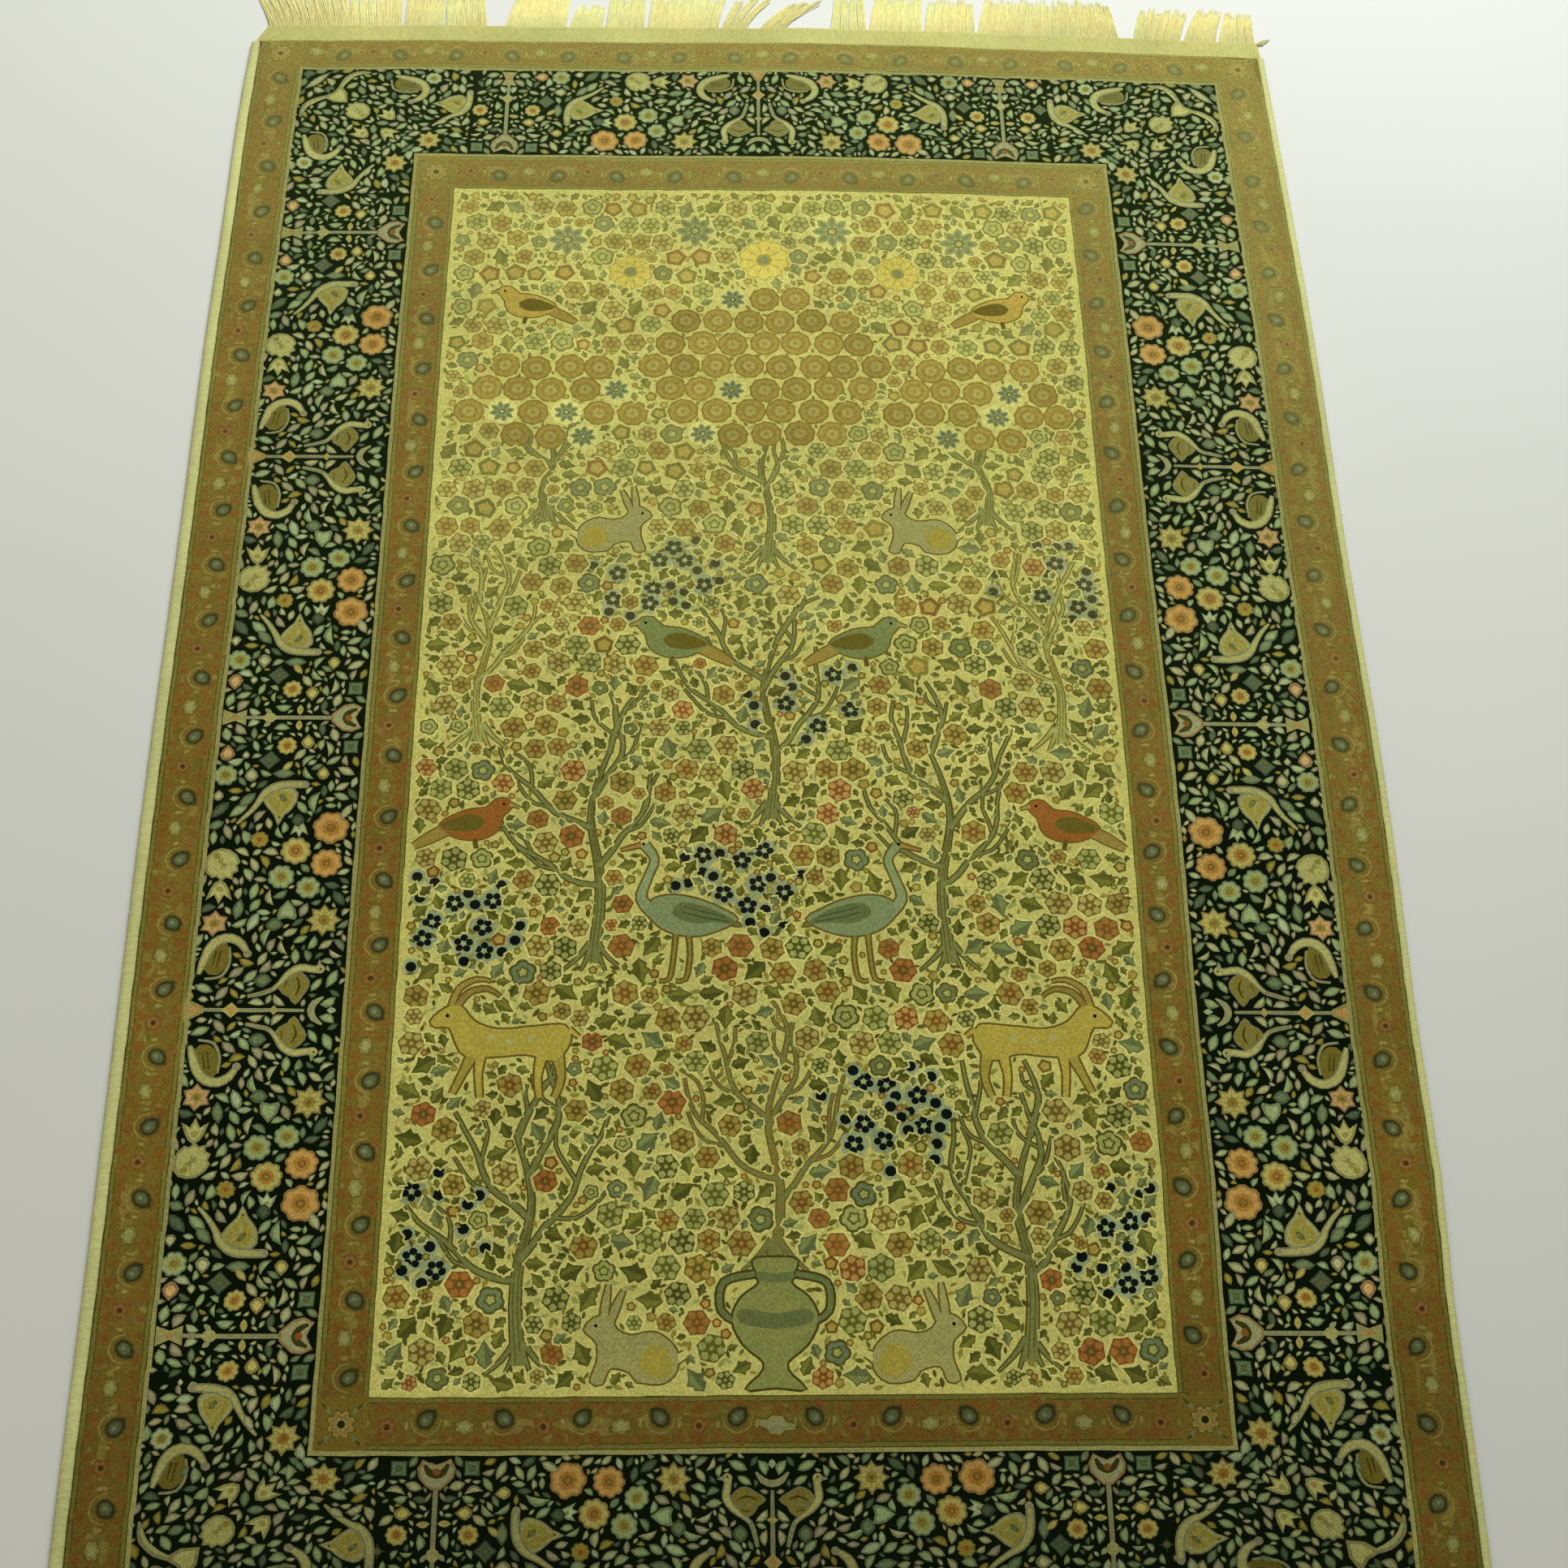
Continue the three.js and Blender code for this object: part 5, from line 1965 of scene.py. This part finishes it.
def yarn(vertices, faces, line, radii, sides=3):
    """Adds one tapered yarn along a line."""
    start = len(vertices)
    count = len(line)
    ahead = np.gradient(line, axis=0)
    ahead /= np.maximum(np.linalg.norm(ahead, axis=1), 1e-9)[:, None]
    for p, d, r in zip(line, ahead, radii):
        side = np.array([-d[1], d[0], 0.0])
        side /= max(np.linalg.norm(side), 1e-9)
        up = np.cross(d, side)
        for i in range(sides):
            angle = 2 * math.pi * (i + 0.5) / sides
            q = p + (side * math.cos(angle) + up * math.sin(angle)) * r
            vertices.append((q[0], q[1], max(0.0, q[2])))
    for k in range(count - 1):
        for i in range(sides):
            j = (i + 1) % sides
            a = start + k * sides
            b = a + sides
            faces.append([a + i, a + j, b + j, b + i])
    faces.append([start + i for i in range(sides)][::-1])
    faces.append([start + (count - 1) * sides + i for i in range(sides)])


def lock_width(s):
    """How wide a lock spreads, as a share of its root, from its root at 0 to its tip at 1."""
    return 1.06 - 0.26 * s**1.6


def combed_mass(vertices, faces, end, root, lean, reach):
    """The flat middle of a lock, under its loose yarns and a little shorter than them."""
    start = len(vertices)
    stations = np.linspace(0, 0.84, 7)
    for s in stations:
        x_mm = root + lean * s**LEAN_POWER
        half = LOCK_ROOT_WIDTH / 2 * lock_width(s)
        x, y = end_line(end, root)
        out = (BAND_DEPTH - 1.5 + s * (reach + 1.5)) * MM
        height = 1.1 - 0.7 * s
        for side, up in ((-1, 0.0), (1, 0.0), (0.9, height), (-0.9, height)):
            vertices.append((x + (x_mm - root + side * half) * MM, y + end * out, up * MM))
    for k in range(len(stations) - 1):
        a = start + 4 * k
        b = a + 4
        for i in range(4):
            j = (i + 1) % 4
            quad = [a + i, a + j, b + j, b + i]
            faces.append(quad if end < 0 else quad[::-1])
    first = [start + i for i in range(4)]
    last = [start + 4 * len(stations) - 4 + i for i in range(4)]
    faces.append(first[::-1] if end < 0 else first)
    faces.append(last if end < 0 else last[::-1])


def loose_yarn(rng, end, root, off, lean, reach):
    """One yarn of a lock, off its middle by a share of its width: its line and its radii."""
    long = reach * (1 - rng.random() ** 2 * 0.22)
    sway = rng.uniform(-1.6, 1.6)
    phase = rng.uniform(0, 6.3)
    lift = rng.uniform(0.1, 1.5)
    line = []
    radii = []
    for s in np.linspace(0, 1, 7):
        x_mm = root + off * LOCK_ROOT_WIDTH * lock_width(s) + lean * s**LEAN_POWER
        x_mm += sway * s * s + 0.45 * math.sin(s * 9 + phase) * s
        x, y = end_line(end, root + off * LOCK_ROOT_WIDTH)
        out = (BAND_DEPTH - 2.5 + s * (long + 2.5)) * MM
        z = 0.55 + lift * (1 - s) ** 0.6 * (0.75 + 0.25 * math.sin(s * 7 + phase))
        line.append((x + (x_mm - root - off * LOCK_ROOT_WIDTH) * MM, y + end * out, min(z, 2.0) * MM))
        radii.append((0.70 - 0.38 * s**2) * MM)
    return np.array(line), radii


def make_fringe(node, end, bunches, material, seed):
    """The fringe: each combed lock is a bundle of loose yarns."""
    rng = random.Random(seed)
    vertices = []
    faces = []
    for start, stop, lean_from, lean_to, reach in bunches:
        gaps = max(1, round((stop - start) / LOCK_PITCH) - 1)
        first = start + LOCK_ROOT_WIDTH / 2
        last = max(first, stop - LOCK_ROOT_WIDTH / 2)
        yarns = 12 if stop - start > 8 else 4
        for g in range(gaps + 1):
            t = g / gaps
            root = first + (last - first) * t
            lock_reach = reach - 4 * (1 + math.sin(root / LOCK_PITCH * 2.4))
            lean = (lean_from + (lean_to - lean_from) * t) * (lock_reach / reach) ** LEAN_POWER
            combed_mass(vertices, faces, end, root, lean, lock_reach)
            for k in range(yarns):
                off = (k + 0.5) / yarns - 0.5 + rng.uniform(-0.04, 0.04)
                yarn(vertices, faces, *loose_yarn(rng, end, root, off, lean, lock_reach))
    obj = new_object(f"{node}_fringe", vertices, faces, material)
    shade_smooth(obj, 70)
    return obj


# Build

pattern = draw_pattern()
pile_wool = wool_pile()
panels = [panel_mesh(name, box, pattern.shapes, pile_wool) for name, box in panel_boxes().items()]
body = make_pile_body(knotted_back())
cord_yarn = cotton("side_cord_yarn", (192, 192, 128), (260.0, 900.0, 260.0), 0.2)
end_yarn = cotton("end_cotton_yarn", (180, 176, 108), (700.0, 160.0, 200.0), 0.25)
fringe_yarn = cotton("fringe_yarn", (222, 216, 148), (900.0, 120.0, 300.0), 0.35, 0.82)
selvedges = [make_selvedge("selvedge_left", cord_yarn), make_selvedge("selvedge_right", cord_yarn)]
bands = [make_band("end_far", 1, end_yarn), make_band("end_near", -1, end_yarn)]
fringes = [
    make_fringe("end_far", 1, FAR_BUNCHES, fringe_yarn, 31),
    make_fringe("end_near", -1, NEAR_BUNCHES, fringe_yarn, 32),
]

for piece in panels + [body]:
    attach(piece, "root")
for piece in selvedges:
    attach(piece, "root")
for piece in bands + fringes:
    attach(piece, "root")
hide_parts("pile")
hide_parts("selvedge_left")
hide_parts("selvedge_right")
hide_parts("end_far")
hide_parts("end_near")

# Camera, floor and light

CAMERA_PLACE = (-0.0810, -1.2520, 2.1273)
CAMERA_ROTATION = (0.501225, -0.038466, -0.003295)  # an axis whose length is the angle
CAMERA_SENSOR = 36.0
CAMERA_LENS = 55.9
FLOOR_HALF = 6.0
FLOOR_DROP = 0.0005
FLOOR_COLOUR = (0.62, 0.61, 0.58)
SKY_COLOUR = (1.0, 0.97, 0.84, 1.0)
SKY_STRENGTH = 0.29


def add_camera():
    data = bpy.data.cameras.new("camera")
    data.sensor_width = CAMERA_SENSOR
    data.lens = CAMERA_LENS
    camera = bpy.data.objects.new("camera", data)
    axis = Vector(CAMERA_ROTATION)
    turned = Matrix.Rotation(axis.length, 4, axis.normalized())
    camera.matrix_world = Matrix.Translation(CAMERA_PLACE) @ turned
    bpy.context.scene.collection.objects.link(camera)
    bpy.context.scene.camera = camera


def make_floor():
    size = FLOOR_HALF
    corners = [(-size, -size, 0), (size, -size, 0), (size, size, 0), (-size, size, 0)]
    nodes = Nodes("floor")
    place = nodes.place()
    shade = nodes.range(nodes.noise(place, 2.0, 2.0), 0.3, 0.7, 0.985, 1.015)
    colour = nodes.scaled(FLOOR_COLOUR, shade)
    material = nodes.finish(colour, 0.8, nodes.noise(place, 300.0, 2.0), 0.05, 0.0005)
    floor = new_object("floor", corners, [[0, 1, 2, 3]], material)
    floor.location.z = -FLOOR_DROP
    return floor


def add_area(name, place, target, size, power, colour):
    data = bpy.data.lights.new(name, "AREA")
    data.shape = "RECTANGLE"
    data.size, data.size_y = size
    data.energy = power
    data.color = colour
    light = bpy.data.objects.new(name, data)
    light.location = place
    light.rotation_euler = (Vector(target) - Vector(place)).to_track_quat("-Z", "Y").to_euler()
    bpy.context.scene.collection.objects.link(light)


def add_sky():
    world = bpy.data.worlds.new("studio")
    world.use_nodes = True
    background = world.node_tree.nodes["Background"]
    background.inputs["Color"].default_value = SKY_COLOUR
    background.inputs["Strength"].default_value = SKY_STRENGTH
    bpy.context.scene.world = world


add_camera()
make_floor()
add_area("key", place=(0.7, 2.7, 2.3), target=(0, 0.6, 0), size=(2.2, 2.2), power=148,
         colour=(0.93, 1.0, 0.98))
add_area("fill", place=(-2.0, -1.0, 3.0), target=(0, 0, 0), size=(3.0, 3.0), power=19,
         colour=(1.0, 0.95, 0.78))
add_sky()
bpy.context.scene.view_settings.view_transform = "Standard"
bpy.context.scene.view_settings.look = "None"

bpy.context.view_layer.update()
